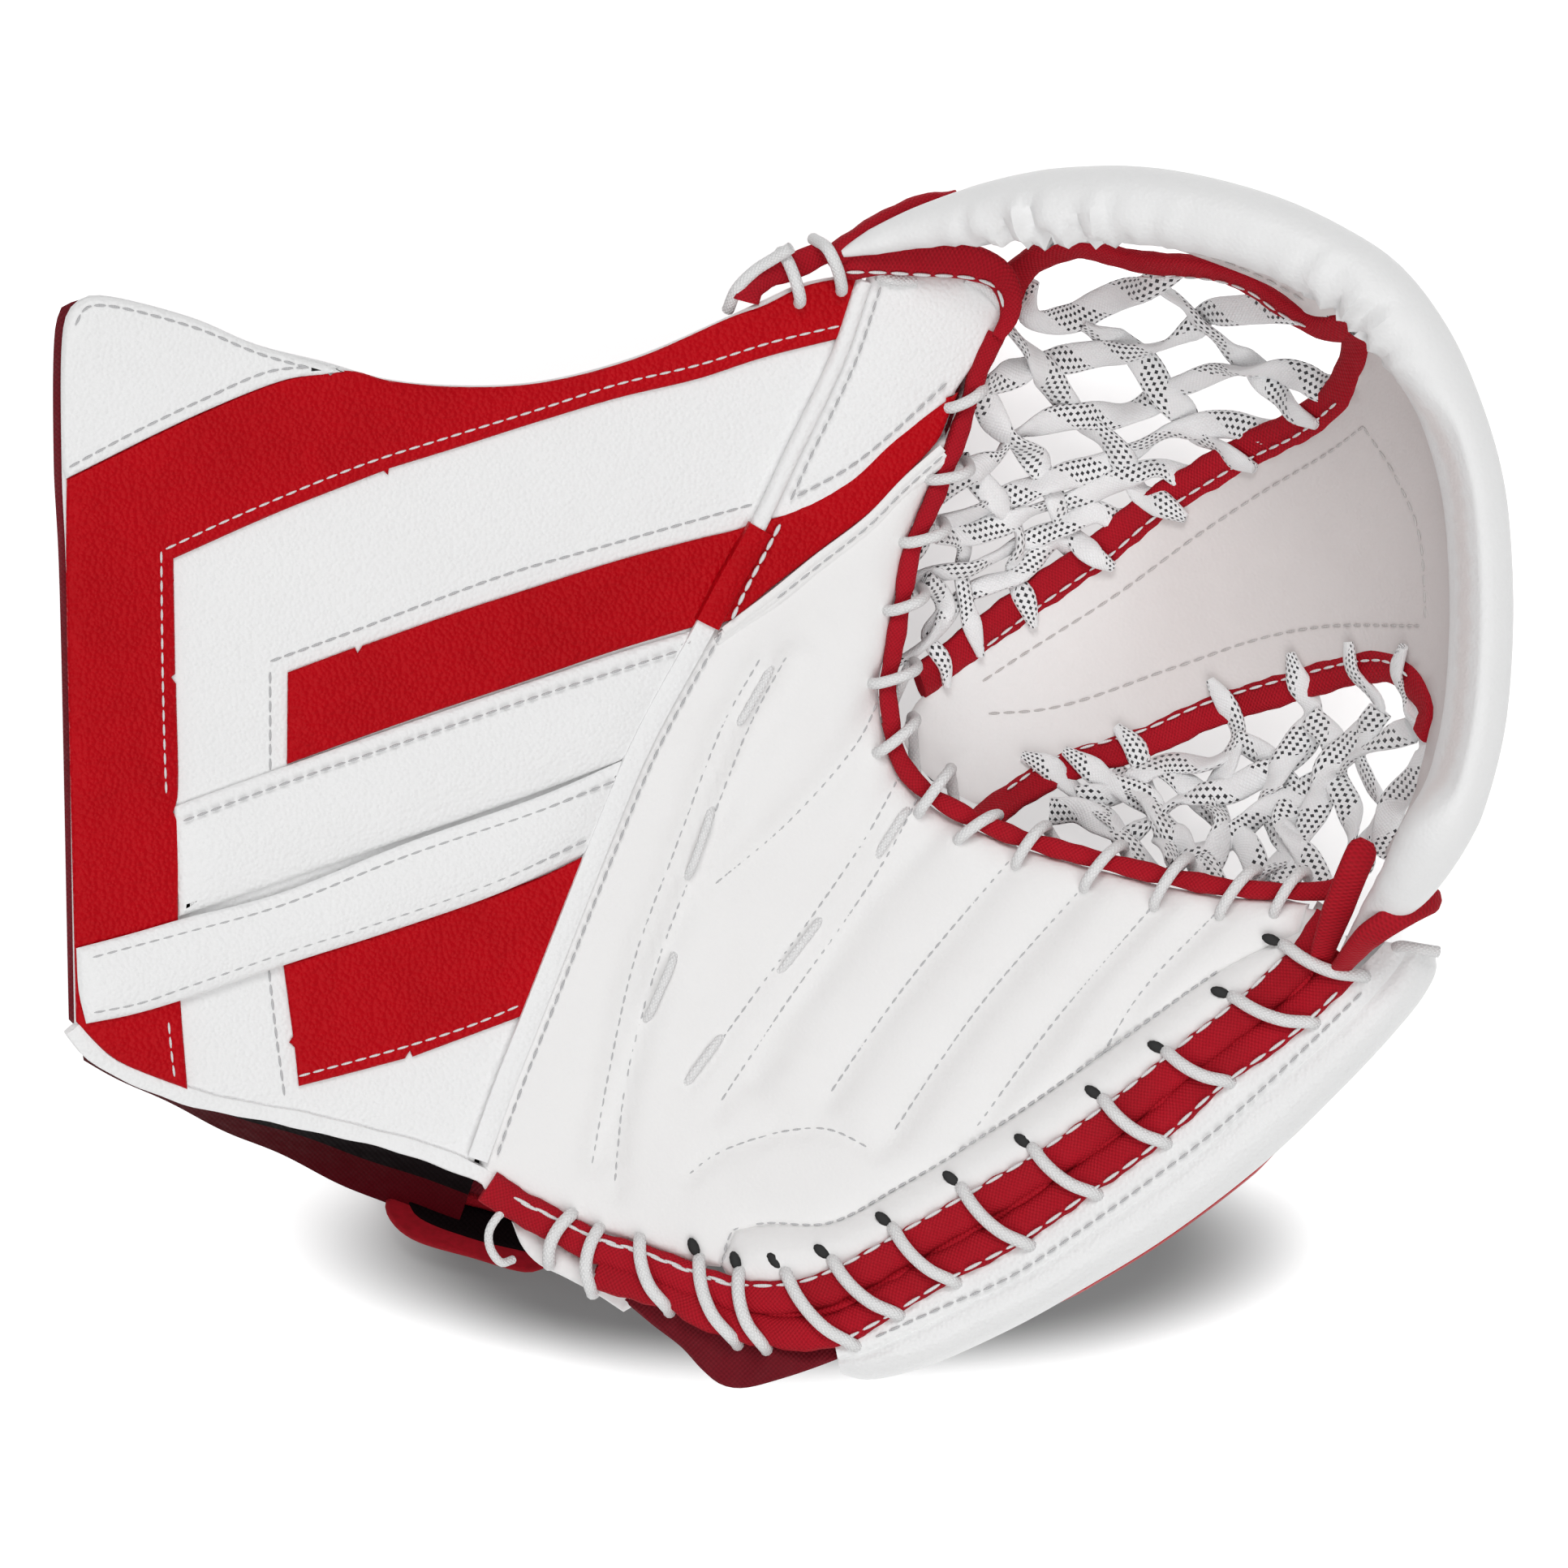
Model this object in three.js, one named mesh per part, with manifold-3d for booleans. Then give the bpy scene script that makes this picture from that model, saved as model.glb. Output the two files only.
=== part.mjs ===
// Goalie catch glove for the left hand, open, lying on its back with the palm up.
// Millimetres, +Z up. The palm side is seen from above, as a goalie looks into the pocket.
import * as THREE from 'three';
import Module from 'manifold-3d';

const wasm = await Module();
wasm.setup();

// Driving sizes
const cuff_edge = 203;            // free edge of the cuff, the 8 in that the rules allow
const cuff_edge_pixels = 922;
const leather = 2;
const applique = 1.2;             // red stripes sewn on the cuff
const raised_band = 1.8;
const seat_gap = 0.3;             // between pieces that touch
const cuff_board = 14;
const palm_foam = 6.5;
const nylon = 1.4;
const break_height = 50;          // palm at the break, above the floor
const break_round = 30;
const cuff_slope_share = 0.34;
const finger_slope_share = 0.24;
const pocket_depth = 86;
const pocket_slope_share = 0.6;
const pocket_edge_drop = 4;
const web_leather = 3.6;
const roll_radius = 10.5;
const roll_seat_drop = 5;
const binding_thickness = 3.2;
const lace_radius = 1.7;
const mesh_lace_width = 4.6;
const mesh_lace_thickness = 2.6;
const palm_lace_radius = 1.3;
const piping_radius = 2;
const stall_wall = 1.6;
const thumb_stall_radius = 12;
const back_board = 5.7;
const back_pad = 7;
const shell_wall = 4.5;
const shell_reach = 24;
const guard_thickness = 9;
const strap_thickness = 3;

// Photograph outlines: u to the right and v down, in pixels of the picture
const photo_middle = [954, 954];
const photo_scale = cuff_edge / cuff_edge_pixels;

const break_line_px = [[1160, 930], [640, 1500]];
const seam_px = [[1064, 341], [1031, 441], [975, 559], [932, 650], [867, 772], [789, 916], [735, 1044],
  [655, 1248], [619, 1340], [584, 1436]];
const cuff_top_px = [[78, 403], [86, 380], [103, 367], [125, 364], [238, 391], [317, 424], [404, 446],
  [475, 466], [554, 474], [660, 470], [780, 440], [903, 387], [940, 368], [1010, 350]];
const cuff_bottom_px = [[584, 1436], [514, 1410], [376, 1376], [238, 1346], [139, 1306], [91, 1262]];
const cuff_left_px = [[80, 700], [74, 573]];
const corner_panel_px = [[79, 403], [87, 382], [103, 369], [125, 366], [238, 393], [317, 426], [404, 448],
  [430, 454], [396, 457], [356, 464], [250, 505], [82, 586], [76, 573]];
const outer_stripe_px = [[83, 591], [251, 509], [357, 468], [434, 458], [475, 468], [554, 476], [660, 472],
  [780, 442], [903, 389], [940, 370], [1010, 353], [1056, 345], [1034, 418], [900, 460], [660, 520],
  [479, 577], [214, 688], [218, 1100], [230, 1342], [139, 1303], [93, 1258], [82, 700]];
const upper_stripe_px = [[354, 828], [660, 722], [860, 663], [920, 646], [858, 764], [660, 836],
  [353, 941]];
const lower_stripe_px = [[348, 1187], [491, 1140], [660, 1082], [716, 1056], [648, 1244], [507, 1302],
  [366, 1338]];
const upper_band_px = [[218, 993], [352, 945], [660, 840], [851, 780], [780, 909], [660, 968], [220, 1120]];
const lower_band_px = [[91, 1169], [220, 1130], [337, 1098], [660, 980], [774, 924], [724, 1042],
  [609, 1098], [348, 1185], [222, 1228], [101, 1256]];
const seam_step_px = 3;
const beside_seam_px = seam_px.map(([u, v]) => [u + seam_step_px, v]);
const thumb_end_px = [[1153, 540], [1113, 580], [1070, 625], [1003, 676], [950, 719], [876, 769]];
const thumb_face_px = [[1128, 343], [1206, 349], [1230, 376], [1212, 430], [1174, 486], ...thumb_end_px,
  ...beside_seam_px.slice(0, 4).reverse()];
const thumb_stripe_px = [[948, 640], [969, 633], [1048, 590], [1098, 544], [1172, 486], [1150, 538],
  [1110, 577], [1067, 622], [1000, 673], [948, 716], [893, 758]];
const palm_px = [...thumb_end_px.map(([u, v]) => [u, v + seam_step_px]).reverse(), [1150, 580],
  [1136, 612], [1120, 645], [1108, 677], [1096, 741], [1084, 809], [1078, 832], [1084, 912], [1142, 996],
  [1236, 1040], [1360, 1076], [1440, 1096], [1519, 1108], [1583, 1112], [1604, 1116], [1500, 1196],
  [1353, 1301], [1219, 1394], [1109, 1461], [1021, 1507], [945, 1510], [903, 1516], [886, 1548],
  [851, 1540], [782, 1514], [695, 1487], [618, 1446], ...beside_seam_px.slice(5).reverse()];
const palm_strip_px = [[1607, 1119], [1502, 1199], [1355, 1304], [1221, 1397], [1111, 1464], [1023, 1510],
  [948, 1513], [906, 1519], [890, 1551], [960, 1578], [1027, 1560], [1104, 1517], [1189, 1468],
  [1278, 1418], [1366, 1357], [1444, 1299], [1526, 1229], [1592, 1165], [1618, 1125]];
const finger_pad_px = [[1112, 1024], [1180, 1058], [1336, 1116], [1440, 1138], [1540, 1148], [1480, 1186],
  [1340, 1280], [1200, 1372], [1090, 1430], [1000, 1472], [900, 1474], [800, 1462], [690, 1440],
  [640, 1440]];
const thumb_palm_pad_px = [[882, 776], [956, 730], [1010, 686], [1077, 636], [1110, 602], [1090, 650],
  [1070, 741], [1050, 832], [1056, 912], [1090, 980], [700, 1440], ...beside_seam_px.slice(5).reverse()];
const pocket_edge_px = [[1222, 420], [1207, 455], [1195, 493], [1182, 533], [1167, 576], [1152, 613],
  [1137, 646], [1124, 677], [1112, 741], [1100, 809], [1094, 845], [1100, 909], [1122, 956], [1156, 985],
  [1240, 1026], [1365, 1062], [1440, 1080], [1519, 1094], [1583, 1098], [1640, 1096]];
const pocket_edge_split = 12;      // the thumb side of the binding ends here, at the crotch
const roll_px = [[1096, 292], [1164, 266], [1240, 249], [1333, 244], [1432, 252], [1550, 284], [1630, 322],
  [1690, 362], [1742, 430], [1778, 510], [1804, 600], [1816, 700], [1812, 800], [1796, 900], [1762, 1000],
  [1726, 1070]];
const roll_height_shares = [0.62, 0.7, 0.78, 0.85, 0.9, 0.95, 0.98, 1, 1, 1, 1, 1, 0.98, 0.94, 0.86, 0.76];
const roll_top = 128;
const web_px = [[1130, 872], [1150, 850], [1206, 800], [1276, 748], [1368, 684], [1422, 638], [1540, 567],
  [1600, 540], [1648, 504], [1672, 450], [1676, 405], [1664, 392], [1611, 385], [1565, 355], [1498, 326],
  [1432, 306], [1366, 298], [1330, 300], [1240, 290], [1240, 250], [1432, 252], [1550, 284], [1630, 322],
  [1690, 362], [1742, 430], [1778, 510], [1804, 600], [1816, 700], [1812, 800], [1796, 900], [1762, 1000],
  [1708, 1088], [1690, 1080], [1734, 990], [1756, 905], [1762, 874], [1752, 844], [1717, 818], [1683, 816],
  [1587, 840], [1492, 869], [1412, 906], [1307, 940], [1228, 990], [1180, 974], [1138, 944], [1118, 905]];
const upper_window_px = [[1248, 360], [1290, 330], [1333, 330], [1399, 357], [1485, 358], [1532, 371],
  [1575, 403], [1625, 426], [1648, 424], [1626, 478], [1588, 512], [1530, 545], [1412, 616], [1358, 661],
  [1266, 726], [1196, 778], [1126, 830], [1113, 800], [1126, 744], [1138, 684], [1166, 618], [1196, 538],
  [1222, 458], [1238, 420]];
const lower_window_px = [[1262, 1008], [1312, 965], [1415, 930], [1495, 895], [1588, 868], [1683, 850],
  [1714, 853], [1728, 872], [1726, 920], [1690, 1040], [1660, 1064], [1583, 1080], [1519, 1076],
  [1440, 1062], [1365, 1044]];
const net_left_px = [[1118, 846], [1120, 745], [1134, 672], [1160, 610], [1190, 536], [1216, 455],
  [1240, 400], [1262, 330]];
const net_right_px = [[1140, 846], [1200, 800], [1270, 748], [1362, 682], [1416, 636], [1534, 563],
  [1600, 518], [1640, 470], [1660, 420], [1575, 394], [1485, 352], [1400, 350]];
const lower_net_top_px = [[1240, 1000], [1310, 952], [1415, 917], [1495, 882], [1588, 854], [1683, 834],
  [1745, 850]];
const lower_net_bottom_px = [[1250, 1030], [1365, 1060], [1440, 1078], [1519, 1092], [1583, 1096],
  [1660, 1080], [1740, 950]];
const top_window_binding_px = [[1296, 318], [1333, 314], [1399, 341], [1485, 343], [1532, 356],
  [1580, 388], [1625, 410], [1656, 402]];
const web_upper_binding_px = [[1664, 412], [1656, 450], [1634, 492], [1594, 526], [1534, 556], [1416, 628],
  [1362, 673], [1270, 738], [1200, 790], [1142, 840]];
const web_lower_binding_px = [[1238, 992], [1308, 947], [1413, 913], [1493, 877], [1587, 848], [1683, 826],
  [1717, 828], [1746, 852], [1753, 874], [1744, 915]];
const edge_stitches_px = [[[738, 1514], [728, 1590]], [[788, 1526], [822, 1612]], [[861, 1550],
  [905, 1652]], [[911, 1566], [942, 1660]], [[966, 1566], [1056, 1660]], [[1024, 1552], [1110, 1622]],
  [[1099, 1512], [1180, 1582]], [[1183, 1462], [1271, 1536]], [[1271, 1414], [1354, 1473]], [[1358, 1354],
  [1439, 1410]], [[1436, 1296], [1517, 1334]], [[1517, 1228], [1622, 1261]], [[1580, 1164], [1684, 1204]]];
const palm_binding_px = [[612, 1466], [640, 1486], [695, 1513], [738, 1536], [797, 1552], [874, 1581],
  [920, 1594], [993, 1594], [1050, 1573], [1123, 1533], [1209, 1484], [1296, 1432], [1382, 1371],
  [1460, 1308], [1548, 1238], [1611, 1176], [1640, 1130]];
const board_binding_px = [[735, 1568], [812, 1588], [892, 1622], [931, 1634], [1029, 1634], [1084, 1602],
  [1156, 1561], [1244, 1514], [1329, 1455], [1414, 1393], [1492, 1322], [1588, 1251], [1652, 1192]];
const shell_inner_px = [[1046, 1656], [1102, 1624], [1174, 1584], [1262, 1538], [1347, 1478], [1433, 1414],
  [1510, 1342], [1608, 1268], [1674, 1206]];
const shell_outer_px = [[1050, 1698], [1132, 1687], [1245, 1639], [1340, 1586], [1440, 1524], [1560, 1432],
  [1650, 1346], [1728, 1262], [1768, 1190]];
const heel_flap_px = [[764, 1604], [835, 1655], [881, 1700], [904, 1706], [968, 1694], [1030, 1668],
  [1010, 1630], [930, 1630], [830, 1594], [780, 1580]];
const tip_loops_px = [[[1690, 1062], [1668, 1098], [1646, 1134], [1630, 1164]], [[1780, 1110],
  [1754, 1140], [1718, 1168], [1682, 1192]]];
const thumb_tip_binding_px = [[1031, 324], [1080, 316], [1128, 316], [1196, 322], [1232, 342], [1243, 374],
  [1228, 408]];
const thumb_top_binding_px = [[1022, 306], [1074, 276], [1125, 252], [1166, 246]];
const thumb_loop_px = [[922, 366], [934, 350], [966, 336], [1012, 318]];
const pocket_stitches_px = [[[1166, 502], [1212, 478]], [[1144, 590], [1196, 578]], [[1112, 668],
  [1166, 652]], [[1092, 752], [1140, 734]], [[1074, 842], [1130, 824]], [[1080, 928], [1128, 890]],
  [[1132, 1002], [1170, 950]], [[1180, 1036], [1226, 1004]], [[1252, 1066], [1286, 1018]], [[1336, 1094],
  [1379, 1042]], [[1422, 1116], [1461, 1058]], [[1503, 1128], [1544, 1072]], [[1570, 1128], [1604, 1074]]];
const palm_laces_px = [ [[[953, 816], [906, 898]], [[878, 994], [846, 1084]], [[833, 1173], [796, 1259]]],
  [[[1120, 994], [1078, 1059]], [[1017, 1126], [956, 1205]], [[892, 1273], [842, 1340]]]];
const finger_stalls_px = [[[1128, 1092], [1492, 1146]], [[1086, 1184], [1436, 1244]], [[1040, 1276],
  [1352, 1330]], [[990, 1366], [1240, 1408]]];
const finger_names = ['index', 'middle', 'ring', 'little'];
const stall_width_px = 87;
const thumb_stall_px = [[962, 880], [1108, 470]];
const thumb_board_px = [[1066, 372], [1150, 372], [1196, 400], [1170, 500], [1120, 620], [1080, 760],
  [1050, 880], [990, 940], [900, 940], [860, 860], [910, 780], [960, 660], [1010, 520]];
const wrist_guard_px = [[290, 1190], [430, 1080], [640, 980], [830, 1010], [870, 1120], [760, 1300],
  [700, 1405], [760, 1490], [754, 1560], [676, 1548], [560, 1510], [430, 1424], [320, 1340]];
const hand_back_px = [[1120, 1040], [1236, 1066], [1440, 1118], [1548, 1140]];
const heel_back_px = [[900, 1500], [790, 1470], [704, 1440]];
const strap_px = [[478, 1478], [474, 1492], [482, 1512], [506, 1530], [580, 1552], [649, 1568],
  [672, 1564], [676, 1520], [640, 1494], [540, 1470], [500, 1466]];
const strap_face_px = [[500, 1480], [512, 1500], [580, 1528], [654, 1546], [662, 1522], [632, 1504],
  [540, 1480]];
const strap_anchor_px = [[684, 1521], [680, 1566], [744, 1584], [760, 1540], [724, 1500]];
const lining_top_px = [[96, 1262], [142, 1302], [240, 1342], [376, 1372], [470, 1396]];
const lining_bottom_px = [[112, 1306], [176, 1336], [270, 1376], [376, 1424], [466, 1470]];

function at([u, v]) {
  return new THREE.Vector2((u - photo_middle[0]) * photo_scale, (photo_middle[1] - v) * photo_scale);
}

// Palm face: a shallow valley along the break of the glove
const break_start = at(break_line_px[0]);
const break_end = at(break_line_px[1]);
const break_along = break_end.clone().sub(break_start).normalize();
const toward_cuff = new THREE.Vector2(break_along.y, -break_along.x);

function beyond_break(x, y) {
  return (x - break_start.x) * toward_cuff.x + (y - break_start.y) * toward_cuff.y;
}

function palm_height(x, y) {
  const distance = beyond_break(x, y);
  const slope = distance > 0 ? cuff_slope_share : finger_slope_share;
  return break_height + slope * (Math.hypot(distance, break_round) - break_round);
}

// Pocket: a bowl that hangs between the edge of the palm and the padded rim
function along_curve(points, count) {
  return new THREE.CatmullRomCurve3(points, false, 'centripetal').getSpacedPoints(count);
}

function raised(outline_px, height) {
  return outline_px.map((pixel, index) => {
    const p = at(pixel);
    return new THREE.Vector3(p.x, p.y, height(p.x, p.y, index));
  });
}

const rim_points = raised(roll_px, (x, y, index) => roll_top * roll_height_shares[index]);
const rim_curve_samples = 300;
const rim_samples = along_curve(rim_points, rim_curve_samples);
const edge_samples = along_curve(raised(pocket_edge_px, palm_height), rim_curve_samples);
const pocket_outline = [...rim_samples, ...edge_samples.slice().reverse()];
const nearness_power = 10;
const height_power = 4;

function nearness(samples, x, y) {
  let closeness = 0;
  let weights = 0;
  let height = 0;
  for (const sample of samples) {
    const distance = Math.max(Math.hypot(x - sample.x, y - sample.y), seat_gap);
    closeness += distance ** -nearness_power;
    weights += distance ** -height_power;
    height += sample.z * distance ** -height_power;
  }
  return { distance: (closeness / samples.length) ** (-1 / nearness_power), height: height / weights };
}

// The bowl's slope runs on past the rim, so the web meets the roll at full height
function inside_pocket(x, y) {
  let inside = false;
  pocket_outline.forEach((a, step) => {
    const b = pocket_outline[(step + 1) % pocket_outline.length];
    if ((a.y > y) !== (b.y > y) && x < a.x + (b.x - a.x) * (y - a.y) / (b.y - a.y)) {
      inside = !inside;
    }
  });
  return inside;
}

function pocket_height(x, y) {
  const edge = nearness(edge_samples, x, y);
  const rim = nearness(rim_samples, x, y);
  const past_rim = rim.distance < edge.distance && !inside_pocket(x, y);
  const rim_distance = past_rim ? -rim.distance : rim.distance;
  const width = edge.distance + rim_distance;
  const share = edge.distance / width;
  const sag = pocket_depth * (1 - Math.exp(-width * pocket_slope_share / pocket_depth));
  const straight = (edge.height - pocket_edge_drop) * (1 - share) + (rim.height - roll_seat_drop) * share;
  return straight - 4 * sag * share * (1 - share);
}

// A face is sampled on a lattice, so every layer that follows it has the same facets
class Face {
  constructor(height, pitch) {
    this.height = height;
    this.pitch = pitch;
    this.known = new Map();
  }

  node(i, j) {
    const key = `${i},${j}`;
    if (!this.known.has(key)) {
      const x = i * this.pitch;
      const y = j * this.pitch;
      const reach = this.pitch / 4;
      const slope_x = (this.height(x + reach, y) - this.height(x - reach, y)) / (2 * reach);
      const slope_y = (this.height(x, y + reach) - this.height(x, y - reach)) / (2 * reach);
      const point = new THREE.Vector3(x, y, this.height(x, y));
      this.known.set(key, [point, new THREE.Vector3(-slope_x, -slope_y, 1).normalize()]);
    }
    return this.known.get(key);
  }

  frame(x, y) {
    const i = Math.floor(x / this.pitch);
    const j = Math.floor(y / this.pitch);
    const a = x / this.pitch - i;
    const b = y / this.pitch - j;
    const corners = a + b <= 1
      ? [[this.node(i, j), 1 - a - b], [this.node(i + 1, j), a], [this.node(i, j + 1), b]]
      : [[this.node(i + 1, j + 1), a + b - 1], [this.node(i + 1, j), 1 - b], [this.node(i, j + 1), 1 - a]];
    const point = new THREE.Vector3();
    const normal = new THREE.Vector3();
    for (const [[place, up], weight] of corners) {
      point.addScaledVector(place, weight);
      normal.addScaledVector(up, weight);
    }
    return { point, normal };
  }

  lift(x, y, offset) {
    const { point, normal } = this.frame(x, y);
    return point.addScaledVector(normal, offset);
  }
}

const cuff_pitch = 48;
const palm_pitch = 24;
const pocket_pitch = 11;
const net_pitch = 18;
const cuff_surface = new Face(palm_height, cuff_pitch);
const palm_face = new Face(palm_height, palm_pitch);
const pocket_face = new Face(pocket_height, pocket_pitch);
const net_face = new Face(pocket_height, net_pitch);

// Solids
function geometry_of(triangles_at, corners) {
  const geometry = new THREE.BufferGeometry();
  geometry.setAttribute('position', new THREE.Float32BufferAttribute(corners, 3));
  geometry.setIndex(triangles_at);
  return geometry;
}

const weld_steps = 1e4;

function solid_of(geometry) {
  const position = geometry.attributes.position;
  const index = geometry.index ? Array.from(geometry.index.array) : [...Array(position.count).keys()];
  const places = new Map();
  const corners = [];
  const renumbered = [];
  for (let i = 0; i < position.count; i += 1) {
    const corner = [position.getX(i), position.getY(i), position.getZ(i)];
    const key = corner.map((value) => Math.round(value * weld_steps)).join(',');
    if (!places.has(key)) {
      places.set(key, corners.length / 3);
      corners.push(...corner);
    }
    renumbered.push(places.get(key));
  }
  const triangles = [];
  for (let i = 0; i < index.length; i += 3) {
    const [a, b, c] = [0, 1, 2].map((step) => renumbered[index[i + step]]);
    if (a !== b && b !== c && c !== a) {
      triangles.push(a, b, c);
    }
  }
  return new wasm.Manifold(new wasm.Mesh({
    numProp: 3, vertProperties: new Float32Array(corners), triVerts: new Uint32Array(triangles),
  }));
}

function geometry_from(solid) {
  const bodies = solid.decompose();
  bodies.sort((a, b) => b.volume() - a.volume());
  const mesh = bodies[0].getMesh();
  return geometry_of(Array.from(mesh.triVerts), Array.from(mesh.vertProperties));
}

function carve(geometry, ...cutters) {
  const whole = solid_of(geometry);
  return geometry_from(cutters.reduce((solid, cutter) => solid.subtract(solid_of(cutter)), whole));
}

const cut_overrun = 400;

function column(points) {
  const shape = new THREE.Shape(points);
  const geometry = new THREE.ExtrudeGeometry(shape, { depth: 2 * cut_overrun, bevelEnabled: false });
  geometry.translate(0, 0, -cut_overrun);
  geometry.deleteAttribute('normal');
  geometry.deleteAttribute('uv');
  return solid_of(geometry);
}

function region(outline_px) {
  return column(outline_px.map(at));
}

function plate(outline_points, low, high) {
  const geometry = new THREE.ExtrudeGeometry(new THREE.Shape(outline_points), {
    depth: high - low, bevelEnabled: false,
  });
  geometry.translate(0, 0, low);
  geometry.deleteAttribute('normal');
  geometry.deleteAttribute('uv');
  return geometry;
}

// Half of the plan on the cuff side of the break, or on the finger side, less a clearance
function side_of_break(side, clearance) {
  const far = side * cut_overrun;
  const near = side * clearance;
  const corner = (along, away) => break_start.clone()
    .addScaledVector(break_along, along).addScaledVector(toward_cuff, away);
  return column([corner(-cut_overrun, near), corner(cut_overrun, near), corner(cut_overrun, far),
    corner(-cut_overrun, far)]);
}

const crown_share = 0.02;

function layer(face, plan, low, high) {
  const box = plan.boundingBox();
  const first = [Math.floor(box.min[0] / face.pitch), Math.floor(box.min[1] / face.pitch)];
  const last = [Math.ceil(box.max[0] / face.pitch), Math.ceil(box.max[1] / face.pitch)];
  const columns = last[0] - first[0];
  const rows = last[1] - first[1];
  const corners = [];
  const triangles = [];
  const number = (i, j, top) => (j * (columns + 1) + i) * 2 + top;
  for (let j = 0; j <= rows; j += 1) {
    for (let i = 0; i <= columns; i += 1) {
      const crown = face.pitch * (1 + crown_share * (i * i + i * j + j * j));
      const x = (first[0] + i) * face.pitch;
      const y = (first[1] + j) * face.pitch;
      corners.push(x, y, -crown, x, y, crown);
    }
  }
  const quad = (a, b, c, d) => triangles.push(a, b, d, b, c, d);
  for (let j = 0; j < rows; j += 1) {
    for (let i = 0; i < columns; i += 1) {
      quad(number(i, j, 1), number(i + 1, j, 1), number(i + 1, j + 1, 1), number(i, j + 1, 1));
      const [a, b, c, d] = [number(i, j, 0), number(i + 1, j, 0), number(i + 1, j + 1, 0), number(i, j + 1, 0)];
      triangles.push(a, d, b, b, d, c);
    }
  }
  for (let i = 0; i < columns; i += 1) {
    quad(number(i, 0, 0), number(i + 1, 0, 0), number(i + 1, 0, 1), number(i, 0, 1));
    quad(number(i + 1, rows, 0), number(i, rows, 0), number(i, rows, 1), number(i + 1, rows, 1));
  }
  for (let j = 0; j < rows; j += 1) {
    quad(number(0, j + 1, 0), number(0, j, 0), number(0, j, 1), number(0, j + 1, 1));
    quad(number(columns, j, 0), number(columns, j + 1, 0), number(columns, j + 1, 1), number(columns, j, 1));
  }
  const flat = geometry_from(solid_of(geometry_of(triangles, corners)).intersect(plan));
  const position = flat.attributes.position;
  for (let i = 0; i < position.count; i += 1) {
    const offset = position.getZ(i) > 0 ? high : low;
    const place = face.lift(position.getX(i), position.getY(i), offset);
    position.setXYZ(i, place.x, place.y, place.z);
  }
  return flat;
}

function loft(loops, flat_profile) {
  const sides = flat_profile.length;
  const corners = loops.flat().flatMap((p) => [p.x, p.y, p.z]);
  const triangles = [];
  for (let i = 0; i + 1 < loops.length; i += 1) {
    for (let j = 0; j < sides; j += 1) {
      const next = (j + 1) % sides;
      const [a, b, c, d] = [i * sides + j, i * sides + next, (i + 1) * sides + next, (i + 1) * sides + j];
      triangles.push(a, b, c, a, c, d);
    }
  }
  const last = (loops.length - 1) * sides;
  const clockwise = THREE.ShapeUtils.isClockWise(flat_profile);
  for (const corner of THREE.ShapeUtils.triangulateShape(flat_profile, [])) {
    const [a, b, c] = clockwise ? corner.toReversed() : corner;
    triangles.push(a, c, b, last + a, last + b, last + c);
  }
  const solid = solid_of(geometry_of(triangles, corners));
  if (solid.volume() < 0) {
    triangles.reverse();
  }
  return geometry_of(triangles, corners);
}

function oval(width, thickness, sides) {
  return Array.from({ length: sides }, (_, step) => {
    const turn = (step + 0.5) * 2 * Math.PI / sides;
    const square = 1 / Math.max(Math.abs(Math.cos(turn)), Math.abs(Math.sin(turn))) ** 0.5;
    return new THREE.Vector2(Math.cos(turn) * square * width / 2, Math.sin(turn) * square * thickness / 2);
  });
}

function sweep(points, ups, profile) {
  const loops = points.map((point, step) => {
    const before = points[Math.max(step - 1, 0)];
    const after = points[Math.min(step + 1, points.length - 1)];
    const ahead = after.clone().sub(before).normalize();
    const across = new THREE.Vector3().crossVectors(ahead, ups[step]).normalize();
    const up = new THREE.Vector3().crossVectors(across, ahead);
    return profile.map((p) => point.clone().addScaledVector(across, p.x).addScaledVector(up, p.y));
  });
  return loft(loops, profile);
}

// A round cord keeps its section from twisting by carrying it along from step to step
function cord(points, radius, sides) {
  const profile = Array.from({ length: sides }, (_, step) => {
    const turn = step * 2 * Math.PI / sides;
    return new THREE.Vector2(Math.cos(turn) * radius, Math.sin(turn) * radius);
  });
  const ups = [];
  let up = new THREE.Vector3(0, 0, 1);
  for (let step = 0; step < points.length; step += 1) {
    const before = points[Math.max(step - 1, 0)];
    const after = points[Math.min(step + 1, points.length - 1)];
    const ahead = after.clone().sub(before).normalize();
    up = up.clone().addScaledVector(ahead, -up.dot(ahead)).normalize();
    ups.push(up);
  }
  return sweep(points, ups, profile);
}

const strip_step = 11;
const strip_sides = 6;

function strip(face, path_px, width, thickness, offset) {
  const flat = along_curve(raised(path_px, () => 0), Math.ceil(path_length(path_px) / strip_step));
  const frames = flat.map((p) => face.frame(p.x, p.y));
  const points = frames.map(({ point, normal }) => point.clone().addScaledVector(normal, offset));
  return sweep(points, frames.map(({ normal }) => normal), oval(width, thickness, strip_sides));
}

function path_length(path_px) {
  const points = path_px.map(at);
  return points.slice(1).reduce((sum, p, step) => sum + p.distanceTo(points[step]), 0);
}

const group = new THREE.Group();

function finish(color, roughness) {
  return new THREE.MeshStandardMaterial({ color, roughness, metalness: 0 });
}

const white_leather = finish('#eef0f1', 0.5);
const soft_leather = finish('#efeceb', 0.6);
const red_leather = finish('#c8101c', 0.4);
const red_binding = finish('#bf1029', 0.8);
const red_lining = finish('#8f0c22', 0.85);
const white_lace = finish('#f2f2f2', 0.85);
const foam = finish('#4b4d50', 0.9);
const board = finish('#26282b', 0.6);
const black_loop = finish('#141315', 0.95);

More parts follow.
